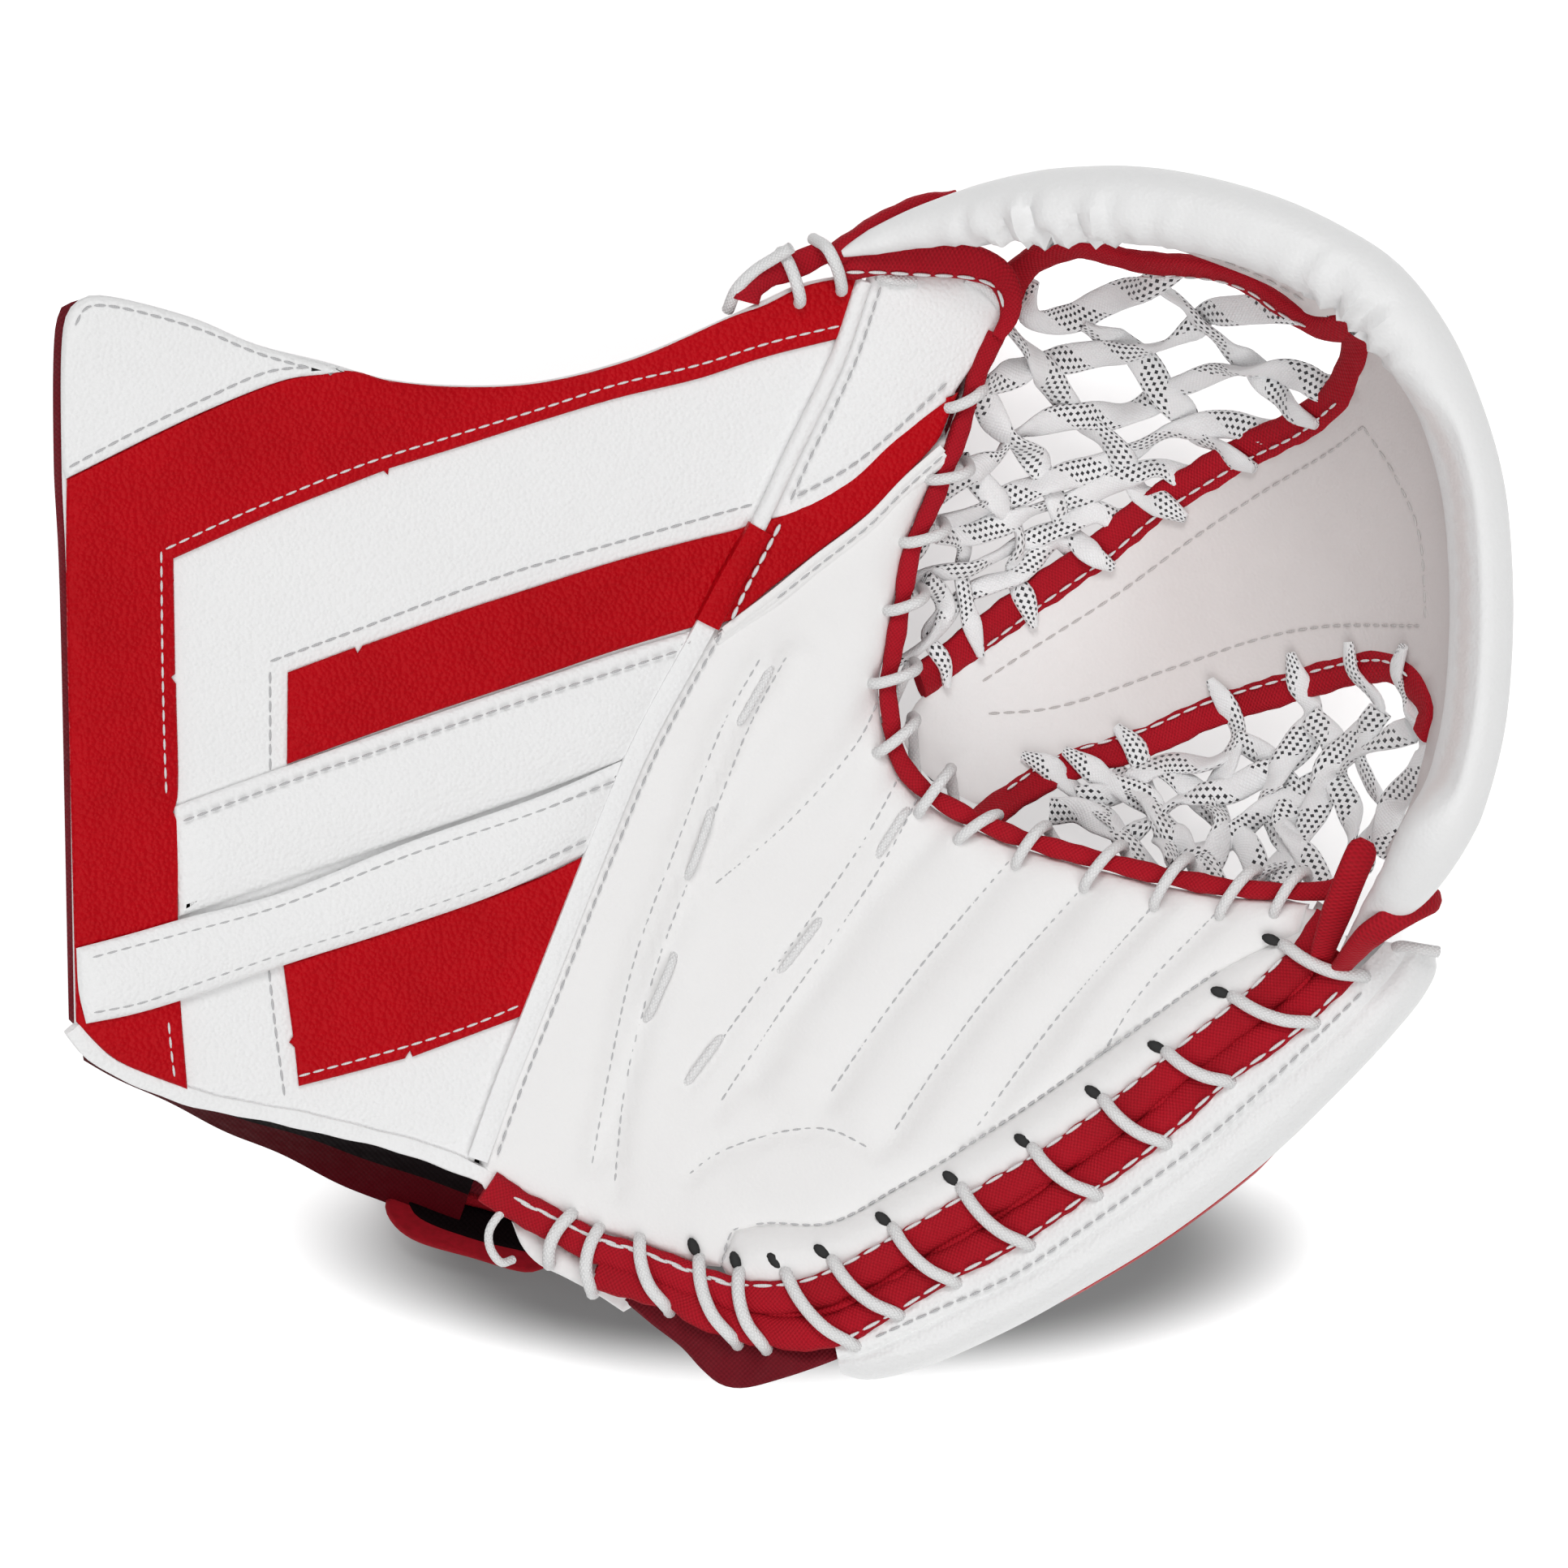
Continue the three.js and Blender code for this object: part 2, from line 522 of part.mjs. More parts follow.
function add(name, geometry, material) {
  geometry.computeVertexNormals();
  const mesh = new THREE.Mesh(geometry, material);
  mesh.name = name;
  group.add(mesh);
  return mesh;
}

// Cuff: a stiff board with a white leather face, a red nylon cover and sewn stripes
const cuff_px = [...cuff_top_px, ...seam_px, ...cuff_bottom_px.slice(1), ...cuff_left_px];
const face_back = -leather;
const core_top = face_back - seat_gap;
const core_back = core_top - cuff_board;
const cover_top = core_back - seat_gap;
const stripe_low = seat_gap;
const stripe_high = stripe_low + applique;
const band_low = stripe_high + seat_gap;

const cuff_core = layer(cuff_surface, region(cuff_px), core_back, core_top);
add('cuff_board', cuff_core, foam);
add('cuff_face', layer(cuff_surface, region(cuff_px), face_back, 0), white_leather);
add('cuff_back_cover', layer(cuff_surface, region(cuff_px), cover_top - nylon, cover_top), red_lining);
const corner_panel = layer(cuff_surface, region(corner_panel_px), stripe_low, stripe_low + leather);
add('cuff_corner_panel', corner_panel, white_leather);
const lower_band = region(lower_band_px);
add('cuff_outer_stripe', layer(cuff_surface, region(outer_stripe_px), stripe_low, stripe_high), red_leather);
add('cuff_upper_stripe', layer(cuff_surface, region(upper_stripe_px), stripe_low, stripe_high), red_leather);
add('cuff_lower_stripe', layer(cuff_surface, region(lower_stripe_px), stripe_low, stripe_high), red_leather);
const upper_band = layer(cuff_surface, region(upper_band_px), seat_gap, seat_gap + raised_band);
add('cuff_upper_band', upper_band, white_leather);
add('cuff_lower_band', layer(cuff_surface, lower_band, band_low, band_low + raised_band), white_leather);

// Red side of the cuff, a nylon strip that stands round the free edges of the board
const side_px = [[91, 1262], ...cuff_left_px, ...cuff_top_px.slice(0, -1), [980, 356]];
const side_thickness = 1.3;
const side_height = leather + seat_gap + cuff_board + seat_gap + nylon;

function edge_band(path_px, thickness, height, offset) {
  const flat = raised(path_px, () => 0);
  const frames = flat.map((p) => palm_face.frame(p.x, p.y));
  const points = frames.map(({ point, normal }) => point.clone().addScaledVector(normal, offset - height / 2));
  const outward = points.map((point, step) => {
    const before = points[Math.max(step - 1, 0)];
    const after = points[Math.min(step + 1, points.length - 1)];
    return new THREE.Vector3().crossVectors(frames[step].normal, after.clone().sub(before)).normalize();
  });
  const moved = points.map((point, step) => point.clone()
    .addScaledVector(outward[step], thickness / 2 + seat_gap));
  const profile = [[-thickness / 2, -height / 2], [thickness / 2, -height / 2], [thickness / 2, height / 2],
    [-thickness / 2, height / 2]].map(([x, y]) => new THREE.Vector2(x, y));
  return sweep(moved, frames.map(({ normal }) => normal), profile);
}

const side_cover = edge_band(side_px, side_thickness, side_height, -applique);
add('cuff_side_cover', side_cover, red_lining);

// White piping along the lower edge of the cuff
const piping_path = raised(cuff_bottom_px.slice().reverse(), palm_height);
const piping_drop = piping_radius + seat_gap + leather / 2;

function outside(points, amount, offset) {
  return points.map((point, step) => {
    const before = points[Math.max(step - 1, 0)];
    const after = points[Math.min(step + 1, points.length - 1)];
    const { normal } = palm_face.frame(point.x, point.y);
    const away = new THREE.Vector3().crossVectors(after.clone().sub(before), normal).normalize();
    return point.clone().addScaledVector(away, amount).addScaledVector(normal, offset);
  });
}

const cord_sides = 6;
const piping_run = outside(piping_path, piping_drop, -leather / 2);
add('cuff_piping', cord(piping_run, piping_radius, cord_sides), white_leather);

// Thumb panel with its red stripe
const thumb_face = layer(palm_face, region(thumb_face_px), face_back, 0);
const thumb_stripe = layer(palm_face, region(thumb_stripe_px), stripe_low, stripe_high);
const thumb_pad = layer(palm_face, region(thumb_face_px), core_top - palm_foam, core_top);

// Welt over the seam between cuff and palm
const welt_width = 5;
const welt_thickness = 2.2;
const welt_seat = stripe_high + seat_gap + welt_thickness / 2;
const welt_px = [[1062, 352], ...seam_px.slice(1, -1), [592, 1420]];
const welt = strip(palm_face, welt_px, welt_width, welt_thickness, welt_seat + raised_band + seat_gap);

// Palm leather, its edge strip and the foam on each side of the break
const palm = layer(palm_face, region(palm_px), face_back, 0);
const palm_strip = layer(palm_face, region(palm_strip_px), face_back, 0);
const break_clearance = 1;
const finger_side = side_of_break(-1, break_clearance);
const cuff_side = side_of_break(1, break_clearance);
const palm_slot_width = 2 * (palm_lace_radius + seat_gap);

function strand(start, end, width, overrun) {
  const ahead = new THREE.Vector2(end.x - start.x, end.y - start.y).normalize();
  const across = new THREE.Vector2(-ahead.y, ahead.x).multiplyScalar(width / 2);
  const a = new THREE.Vector2(start.x, start.y).addScaledVector(ahead, -overrun);
  const b = new THREE.Vector2(end.x, end.y).addScaledVector(ahead, overrun);
  return column([a.clone().sub(across), b.clone().sub(across), b.clone().add(across), a.clone().add(across)]);
}

const palm_slots = palm_laces_px.map((segments) => {
  const route = segments.flat().map(at);
  return route.slice(1).map((end, step) => strand(route[step], end, palm_slot_width, palm_slot_width / 2))
    .reduce((whole, slot) => whole.add(slot));
}).reduce((whole, slot) => whole.add(slot));

function pad(outline_px, side) {
  const plan = region(outline_px).intersect(side).subtract(palm_slots);
  return layer(palm_face, plan, core_top - palm_foam, core_top);
}

// Laces are unbroken cords, from hole to hole over and under the edges that they hold
function stitched(stitches_px, over, under, spread) {
  const points = [];
  for (const [inner_px, outer_px] of stitches_px) {
    const inner = at(inner_px);
    const outer = at(outer_px);
    const middle = inner.clone().lerp(outer, 1 / 2);
    points.push(palm_face.lift(inner.x, inner.y, -under));
    points.push(palm_face.lift(inner.x, inner.y, over / 2));
    points.push(palm_face.lift(middle.x, middle.y, over));
    points.push(palm_face.lift(outer.x, outer.y, over / 2 - spread));
    points.push(palm_face.lift(outer.x, outer.y, -under - spread));
  }
  return points;
}

const lace_steps = 8;
const lace_sides = 5;
const lace_over = 6;
const lace_under = 7;
const edge_points = stitched(edge_stitches_px, lace_over, lace_under, 0);
const edge_route = along_curve(edge_points, lace_steps * edge_stitches_px.length);
const edge_lace = cord(edge_route, lace_radius, lace_sides);
const edge_lace_room = cord(edge_route, lace_radius + seat_gap, lace_sides);
const pocket_points = stitched(pocket_stitches_px, lace_over, lace_under, pocket_edge_drop);
const pocket_route = along_curve(pocket_points, lace_steps * pocket_stitches_px.length);
const pocket_lace = cord(pocket_route, lace_radius, lace_sides);
const pocket_lace_room = cord(pocket_route, lace_radius + seat_gap, lace_sides);

function least_gap(route, radius) {
  let least = Infinity;
  for (let i = 0; i < route.length; i += 1) {
    for (let j = i + 1; j < route.length; j += 1) {
      const travelled = (j - i) * route[0].distanceTo(route[1]);
      const distance = route[i].distanceTo(route[j]);
      if (travelled > 4 * radius && distance < travelled / 2) {
        least = Math.min(least, distance - 2 * radius);
      }
    }
  }
  return least;
}

console.log('edge lace, least gap to itself', least_gap(edge_route, lace_radius).toFixed(2));
console.log('pocket lace, least gap to itself', least_gap(pocket_route, lace_radius).toFixed(2));

const palm_lace_under = leather + palm_lace_radius + seat_gap;
const palm_lace_steps = 6;
const palm_lace_sides = 4;
const palm_lace_over = palm_lace_radius + seat_gap;
const palm_lace_dip_share = 1 / 6;
const palm_routes = palm_laces_px.map((segments) => {
  const points = segments.flatMap(([start_px, end_px]) => {
    const start = at(start_px);
    const end = at(end_px);
    const rise = start.clone().lerp(end, palm_lace_dip_share);
    const fall = end.clone().lerp(start, palm_lace_dip_share);
    return [palm_face.lift(start.x, start.y, -palm_lace_under), palm_face.lift(rise.x, rise.y, palm_lace_over),
      palm_face.lift(fall.x, fall.y, palm_lace_over), palm_face.lift(end.x, end.y, -palm_lace_under)];
  });
  return along_curve(points, palm_lace_steps * segments.length);
});
const palm_lace_rooms = palm_routes.map((route) => cord(route, palm_lace_radius + seat_gap, palm_lace_sides));

// Bindings: woven nylon folded over the edges
const binding_width = 5;
const wide_binding_width = 6.2;
const tip_binding_width = 8;
const loop_binding_width = 6;
const room = 2 * seat_gap;

function bound(path_px, face, width, offset) {
  return {
    solid: strip(face, path_px, width, binding_thickness, offset),
    room: strip(face, path_px, width + room, binding_thickness + room, offset),
  };
}

const binding_seat = -leather / 2;
const palm_binding = bound(palm_binding_px, palm_face, wide_binding_width, binding_seat);
const board_binding = bound(board_binding_px, palm_face, wide_binding_width, binding_seat);
const thumb_edge = bound(pocket_edge_px.slice(0, pocket_edge_split), palm_face, binding_width, binding_seat);
const finger_edge_path = [[1104, 924], ...pocket_edge_px.slice(pocket_edge_split)];
const finger_edge = bound(finger_edge_path, palm_face, binding_width, binding_seat);
const thumb_tip = bound(thumb_tip_binding_px, palm_face, tip_binding_width, binding_seat);

add('palm_leather', carve(palm, palm_binding.room, thumb_edge.room, finger_edge.room, edge_lace_room,
  pocket_lace_room, ...palm_lace_rooms), soft_leather);
add('palm_edge_strip', carve(palm_strip, palm_binding.room, finger_edge.room, edge_lace_room, pocket_lace_room),
  soft_leather);
add('palm_pad_fingers', pad(finger_pad_px, finger_side), foam);
add('palm_pad_thumb', pad(thumb_palm_pad_px, cuff_side), foam);
add('cuff_seam_welt', welt, white_leather);
palm_routes.forEach((route, number) => {
  add(`palm_lace_${number + 1}`, cord(route, palm_lace_radius, palm_lace_sides), white_lace);
});
add('palm_edge_binding', carve(palm_binding.solid, edge_lace_room, finger_edge.room), red_binding);
add('board_edge_binding', carve(board_binding.solid, edge_lace_room, palm_binding.room), red_binding);
add('edge_lace', edge_lace, white_lace);
add('pocket_binding_thumb', carve(thumb_edge.solid, pocket_lace_room, finger_edge.room), red_binding);
add('pocket_binding_fingers', carve(finger_edge.solid, pocket_lace_room), red_binding);
add('pocket_lace', pocket_lace, white_lace);
add('thumb_face', carve(thumb_face, thumb_edge.room, thumb_tip.room, pocket_lace_room), white_leather);
add('thumb_stripe', carve(thumb_stripe, thumb_edge.room, pocket_lace_room), red_leather);
add('thumb_pad', carve(thumb_pad, thumb_edge.room, thumb_tip.room, pocket_lace_room), foam);

// Perimeter roll, the padded rim of the pocket
const roll_steps = 32;
const roll_sides = 10;
const roll_curve = along_curve(rim_points, roll_steps);
const roll_room = cord(roll_curve, roll_radius + seat_gap, roll_sides);
add('perimeter_roll', cord(roll_curve, roll_radius, roll_sides), white_leather);
add('thumb_tip_binding', carve(thumb_tip.solid, roll_room), red_binding);

// Pocket: T-shaped leather web with a net on each side of its stem
const web_plan = region(web_px);
const web = layer(pocket_face, web_plan, -web_leather, 0);
const web_seat = -web_leather / 2;
const upper_web_edge = bound(web_upper_binding_px, pocket_face, binding_width, web_seat);
const lower_web_edge = bound(web_lower_binding_px, pocket_face, binding_width, web_seat);
const top_window_edge = bound(top_window_binding_px, pocket_face, binding_width, web_seat);
add('pocket_web', carve(web, roll_room, upper_web_edge.room, lower_web_edge.room, top_window_edge.room,
  pocket_lace_room, finger_edge.room, thumb_edge.room), soft_leather);
add('web_binding_upper', carve(upper_web_edge.solid, pocket_lace_room, thumb_edge.room), red_binding);
add('web_binding_lower', carve(lower_web_edge.solid, pocket_lace_room, finger_edge.room), red_binding);
add('net_binding_top', carve(top_window_edge.solid, roll_room, upper_web_edge.room), red_binding);

function along_edge(path_px, share) {
  const path = raised(path_px, () => 0);
  return new THREE.CatmullRomCurve3(path, false, 'centripetal').getPointAt(Math.min(Math.max(share, 0), 1));
}

const net_strands = 8;
const upper_net_slant = 3;
const lower_net_slant = 1;

function net(left_px, right_px, window_px, count, slant) {
  let strands = null;
  for (let step = 0; step <= count + slant; step += 1) {
    for (const [from, to] of [[step, step - slant], [step - slant, step]]) {
      if (Math.max(from, to) >= 0 && Math.min(from, to) < count) {
        const ends = [along_edge(left_px, from / count), along_edge(right_px, to / count)];
        const next = strand(...ends, mesh_lace_width, mesh_lace_width);
        strands = strands ? strands.add(next) : next;
      }
    }
  }
  return layer(net_face, strands.intersect(region(window_px)), web_seat - mesh_lace_thickness / 2,
    web_seat + mesh_lace_thickness / 2);
}

const upper_net = net(net_left_px, net_right_px, upper_window_px, net_strands, upper_net_slant);
const lower_net = net(lower_net_top_px, lower_net_bottom_px, lower_window_px, net_strands, lower_net_slant);
add('upper_net', carve(upper_net, upper_web_edge.room, top_window_edge.room, thumb_edge.room, pocket_lace_room),
  white_lace);
add('lower_net', carve(lower_net, lower_web_edge.room, finger_edge.room, pocket_lace_room, roll_room),
  white_lace);

// Finger back board: the hard back that the glove lies on, with its laced edge
const shell_inner = raised(shell_inner_px, palm_height);
const shell_outer = raised(shell_outer_px, palm_height);
const shell_stations = 14;
const inner_run = along_curve(shell_inner, shell_stations);
const outer_run = along_curve(shell_outer, shell_stations);
const shell_fall = 9;
const shell_round = 4;
const shell_loops = inner_run.map((inner, step) => {
  const outer = outer_run[step];
  const out = new THREE.Vector3(outer.x - inner.x, outer.y - inner.y, 0).normalize();
  const place = (away, height) => new THREE.Vector3(outer.x, outer.y, height).addScaledVector(out, away);
  const rim = outer.z - shell_fall;
  return [
    inner.clone(),
    place(-shell_round, rim + shell_round),
    place(0, rim),
    place(-shell_round / 2, rim / 2),
    place(-2 * shell_round, shell_round),
    place(-3 * shell_round, 0),
    place(-shell_reach, 0),
    place(-shell_reach, shell_wall),
    place(-3 * shell_round, shell_wall),
    place(-2 * shell_round - shell_wall / 2, shell_round + shell_wall / 2),
    place(-shell_round / 2 - shell_wall, rim / 2),
    place(-shell_wall - shell_round / 2, rim - shell_wall / 2),
    inner.clone().add(new THREE.Vector3(0, 0, -shell_wall)),
  ];
});
const shell_profile = shell_loops[0].map((p) => new THREE.Vector2(p.clone().sub(inner_run[0]).dot(
  new THREE.Vector3(outer_run[0].x - inner_run[0].x, outer_run[0].y - inner_run[0].y, 0).normalize()), p.z));
const shell = loft(shell_loops, shell_profile);
add('finger_edge_board', carve(shell, edge_lace_room, board_binding.room), white_leather);

const board_run = inner_run.map((inner, step) => {
  const outer = outer_run[step];
  const out = new THREE.Vector2(outer.x - inner.x, outer.y - inner.y).normalize();
  return new THREE.Vector2(outer.x, outer.y).addScaledVector(out, -shell_reach - seat_gap);
});
const heel_back = heel_back_px.map(at);
const hand_back = column([...hand_back_px.map(at), ...board_run.slice().reverse(), ...heel_back])
  .intersect(finger_side);
const guard_points = wrist_guard_px.map(at);
const guard_middle = guard_points.reduce((sum, p) => sum.add(p), new THREE.Vector2())
  .divideScalar(guard_points.length);
const guard_room = column(guard_points
  .map((p) => p.clone().addScaledVector(p.clone().sub(guard_middle).normalize(), seat_gap)));
const back_slab = solid_of(plate(board_square(), 0, back_board));
const pad_slab = solid_of(plate(board_square(), back_board + seat_gap, back_board + seat_gap + back_pad));

function board_square() {
  const half = cut_overrun;
  return [[-half, -half], [half, -half], [half, half], [-half, half]].map(([x, y]) => new THREE.Vector2(x, y));
}

add('finger_back_board', geometry_from(back_slab.intersect(hand_back).subtract(guard_room)), board);
const pad_plan = hand_back.subtract(guard_room).subtract(solid_of(shell).translate([0, 0, seat_gap]));
add('back_of_hand_pad', carve(geometry_from(pad_slab.intersect(pad_plan)), shell), foam);

// Stalls for four fingers and the thumb, open at the mouth and closed at the tip
const stall_sides = 12;
const shoulder_width_share = 0.7;
const shoulder_drop_share = 0.4;

function stall([mouth_px, tip_px], radius, height) {
  const mouth = at(mouth_px);
  const tip = at(tip_px);
  const length = mouth.distanceTo(tip);
  const dome = radius / 2;
  const inner = radius - stall_wall;
  const shoulder = length - dome * shoulder_drop_share;
  const profile = [[0, length], [radius * shoulder_width_share, shoulder], [radius, length - dome], [radius, 0],
    [inner, 0], [inner, length - dome], [inner * shoulder_width_share, shoulder - stall_wall],
    [0, length - stall_wall]].map(([x, y]) => new THREE.Vector2(x, y));
  const geometry = new THREE.LatheGeometry(profile.reverse(), stall_sides);
  geometry.deleteAttribute('normal');
  geometry.deleteAttribute('uv');
  const ahead = new THREE.Vector3(tip.x - mouth.x, tip.y - mouth.y, 0).normalize();
  geometry.applyQuaternion(new THREE.Quaternion().setFromUnitVectors(new THREE.Vector3(0, 1, 0), ahead));
  geometry.translate(mouth.x, mouth.y, height);
  return geometry_from(solid_of(geometry));
}

const stall_radius = stall_width_px * photo_scale / 2;
const stall_seat = back_board + back_pad + 2 * seat_gap;
finger_stalls_px.forEach((ends, finger) => {
  add(`${finger_names[finger]}_stall`, stall(ends, stall_radius, stall_seat + stall_radius), red_lining);
});

// The thumb stall hangs under the palm foam, and its pad fills the room down to the back board
const thumb_roof = Math.min(...thumb_stall_px.map(at).map((end) => palm_height(end.x, end.y)));
const thumb_stall_drop = palm_foam - core_top + seat_gap + thumb_stall_radius;
const thumb_stall_height = thumb_roof - thumb_stall_drop;
const thumb_pad_top = thumb_stall_height - thumb_stall_radius - seat_gap;
add('thumb_stall', stall(thumb_stall_px, thumb_stall_radius, thumb_stall_height), red_lining);
add('thumb_back_board', plate(thumb_board_px.map(at), 0, back_board), board);
add('thumb_back_pad', plate(thumb_board_px.map(at), back_board + seat_gap, thumb_pad_top), foam);

// Wrist guard, lining at the wrist opening and the strap
add('wrist_guard', plate(wrist_guard_px.map(at), 0, guard_thickness), red_lining);

const lining_low = guard_thickness + seat_gap;
const lining_top_seat = cover_top - nylon - seat_gap;
const lining_hang_shares = [0.5, 0.6, 0.75, 0.9, 1];
const lining_loops = lining_top_px.map((pixel, step) => {
  const top = at(pixel);
  const bottom = at(lining_bottom_px[step]);
  const high = palm_face.lift(top.x, top.y, lining_top_seat);
  const low = new THREE.Vector3(bottom.x, bottom.y, high.z + (lining_low - high.z) * lining_hang_shares[step]);
  const inward = new THREE.Vector3(0, nylon, 0);
  return [high, low, low.clone().add(inward), high.clone().add(inward)];
});
const lining_profile = [[0, 0], [0, -guard_thickness], [nylon, -guard_thickness], [nylon, 0]]
  .map(([x, y]) => new THREE.Vector2(x, y));
add('wrist_lining', loft(lining_loops, lining_profile), red_lining);

const strap_low = guard_thickness + seat_gap;
const strap_top = strap_low + strap_thickness;
add('wrist_strap', plate(strap_px.map(at), strap_low, strap_top), red_binding);
const loop_face_low = strap_top + seat_gap;
add('strap_loop_face', plate(strap_face_px.map(at), loop_face_low, loop_face_low + nylon), black_loop);
add('strap_anchor', plate(strap_anchor_px.map(at), strap_low, strap_top), red_binding);

// Heel flap, finger tip loops and thumb tip pieces
const flap_top = binding_seat - binding_thickness / 2 - seat_gap;
const flap = layer(palm_face, region(heel_flap_px), flap_top - 2 * nylon, flap_top);
add('heel_flap', carve(flap, edge_lace_room, shell), red_binding);
const tip_loop_radius = 3;
const tip_loop_lift = 12;
const tip_loop_steps = 8;
tip_loops_px.forEach((path_px, number) => {
  const rise = (index) => tip_loop_lift * (1 - index / (path_px.length - 1));
  const path = raised(path_px, (x, y, index) => palm_height(x, y) + rise(index));
  const loop = cord(along_curve(path, tip_loop_steps), tip_loop_radius, strip_sides);
  const shaped = carve(loop, roll_room, edge_lace_room, palm_binding.room, board_binding.room,
    finger_edge.room, pocket_lace_room, shell);
  add(`finger_tip_loop_${number + 1}`, shaped, red_binding);
});
const thumb_top_drop = 6.6;
const thumb_top = bound(thumb_top_binding_px, palm_face, tip_binding_width, -thumb_top_drop);
add('thumb_top_binding', carve(thumb_top.solid, roll_room, thumb_pad, thumb_tip.room), red_binding);
const thumb_loop = bound(thumb_loop_px, palm_face, loop_binding_width, -thumb_top_drop / 2);
add('thumb_tip_loop', carve(thumb_loop.solid, thumb_top.room, thumb_tip.room, side_cover, cuff_core),
  red_binding);

export default group;
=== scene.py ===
import math
import bpy
import numpy as np
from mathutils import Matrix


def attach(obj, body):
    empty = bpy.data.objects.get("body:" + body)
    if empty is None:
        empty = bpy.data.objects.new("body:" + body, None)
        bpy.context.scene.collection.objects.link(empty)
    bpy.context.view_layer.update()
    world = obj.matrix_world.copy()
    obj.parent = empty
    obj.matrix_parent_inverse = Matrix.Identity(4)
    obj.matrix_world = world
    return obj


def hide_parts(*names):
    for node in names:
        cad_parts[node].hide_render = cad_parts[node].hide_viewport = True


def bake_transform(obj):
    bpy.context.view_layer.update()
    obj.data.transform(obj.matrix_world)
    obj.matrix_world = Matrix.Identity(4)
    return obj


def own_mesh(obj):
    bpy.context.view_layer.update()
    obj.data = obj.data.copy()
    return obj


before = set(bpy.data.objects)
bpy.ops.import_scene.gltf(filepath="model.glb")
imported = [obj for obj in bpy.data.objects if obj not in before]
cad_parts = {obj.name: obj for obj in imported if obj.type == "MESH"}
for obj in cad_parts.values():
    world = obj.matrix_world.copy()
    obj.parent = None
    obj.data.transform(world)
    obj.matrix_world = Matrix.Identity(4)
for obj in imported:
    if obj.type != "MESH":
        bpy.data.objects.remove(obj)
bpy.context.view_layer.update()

# Camera and studio: the glove lies on a white light table, with the camera far above its palm. A wide soft
# lamp beyond the glove's top throws its shadow forward, and a weaker one lights the pocket. The table
# glows, but not in front of the glove, where a shadow is painted on it in grey and darkens the lamp's own.
pixel = 0.203 / 922
middle_pixel = 954
picture_middle = 966
camera_height = 20.0
palm_level = 0.08
pure_white = (1, 1, 1, 1)

camera_data = bpy.data.cameras.new("camera")
camera_data.sensor_width = 36
camera_data.lens = camera_data.sensor_width * camera_height / (2 * picture_middle * pixel)
camera_data.clip_end = 60
camera = bpy.data.objects.new("camera", camera_data)
bpy.context.scene.collection.objects.link(camera)
offset = (picture_middle - middle_pixel) * pixel
camera.location = (offset, -offset, camera_height + palm_level)
bpy.context.scene.camera = camera


def plug(tree, node, inputs):
    """Sets a node's inputs, each to a plain value or to the socket that feeds it."""
    for name, value in inputs.items():
        if isinstance(value, bpy.types.NodeSocket):
            tree.links.new(value, node.inputs[name])
        else:
            node.inputs[name].default_value = value


def add_node(tree, kind, inputs, **settings):
    """The outputs of a new node."""
    node = tree.nodes.new("ShaderNode" + kind)
    for name, value in settings.items():
        setattr(node, name, value)
    plug(tree, node, inputs)
    return node.outputs


def calculate(tree, operation, *values, clamp=False):
    return add_node(tree, "Math", dict(enumerate(values)), operation=operation, use_clamp=clamp)[0]


def blend_colors(tree, share, first, second):
    """A colour between two others, which are plain colours or sockets."""
    first, second = ((*color, 1) if isinstance(color, tuple) else color for color in (first, second))
    return add_node(tree, "Mix", {"Factor": share, "A": first, "B": second}, data_type="RGBA")["Result"]


def new_finish(name):
    """A new material, with its node tree and its shader."""
    finish = bpy.data.materials.new(name)
    finish.use_nodes = True
    return finish, finish.node_tree, finish.node_tree.nodes["Principled BSDF"]


bpy.ops.mesh.primitive_plane_add(size=12, location=(0, 0, -0.0002))
floor = bpy.context.object
floor.name = "floor"
bpy.ops.object.transform_apply(location=True, rotation=True, scale=True)
floor_finish, floor_tree, floor_shader = new_finish("floor_white")
floor_place = add_node(floor_tree, "TexCoord", {})["Object"]
# Painted shadow: in an oval in front of the glove the floor is painted grey and does not glow.
painted_shadow_spot = add_node(floor_tree, "Mapping", {
    "Vector": floor_place, "Location": (-0.07, 3.45, 0), "Scale": (6.7, 26.7, 0)})[0]
from_painted_shadow = add_node(floor_tree, "VectorMath", {0: painted_shadow_spot}, operation="LENGTH")["Value"]
outside_painted_shadow = add_node(floor_tree, "MapRange", {"Value": from_painted_shadow, "From Min": 0.62, "From Max": 1.1},
                     interpolation_type="SMOOTHSTEP")["Result"]
floor_ray = add_node(floor_tree, "LightPath", {})
seen = calculate(floor_tree, "MAXIMUM", floor_ray["Is Camera Ray"], floor_ray["Is Glossy Ray"])
glow = calculate(floor_tree, "MULTIPLY", outside_painted_shadow, 0.55)
plug(floor_tree, floor_shader, {
    "Roughness": 0.9, "Emission Color": pure_white,
    "Emission Strength": calculate(floor_tree, "MULTIPLY", seen, glow),
    "Base Color": blend_colors(floor_tree, outside_painted_shadow, (0.28, 0.28, 0.28), (0.97, 0.97, 0.97))})
floor.data.materials.append(floor_finish)

world = bpy.data.worlds.new("studio")
bpy.context.scene.world = world
world.use_nodes = True
world_tree = world.node_tree
sky = world_tree.nodes["Background"]
plug(world_tree, sky, {"Color": pure_white, "Strength": 0.37})
backdrop = add_node(world_tree, "Background", {"Color": pure_white, "Strength": 1.0})
world_ray = add_node(world_tree, "LightPath", {})
seen_world = add_node(world_tree, "MixShader", {
    0: world_ray["Is Camera Ray"], 1: sky.outputs[0], 2: backdrop[0]})
plug(world_tree, world_tree.nodes["World Output"], {"Surface": seen_world[0]})

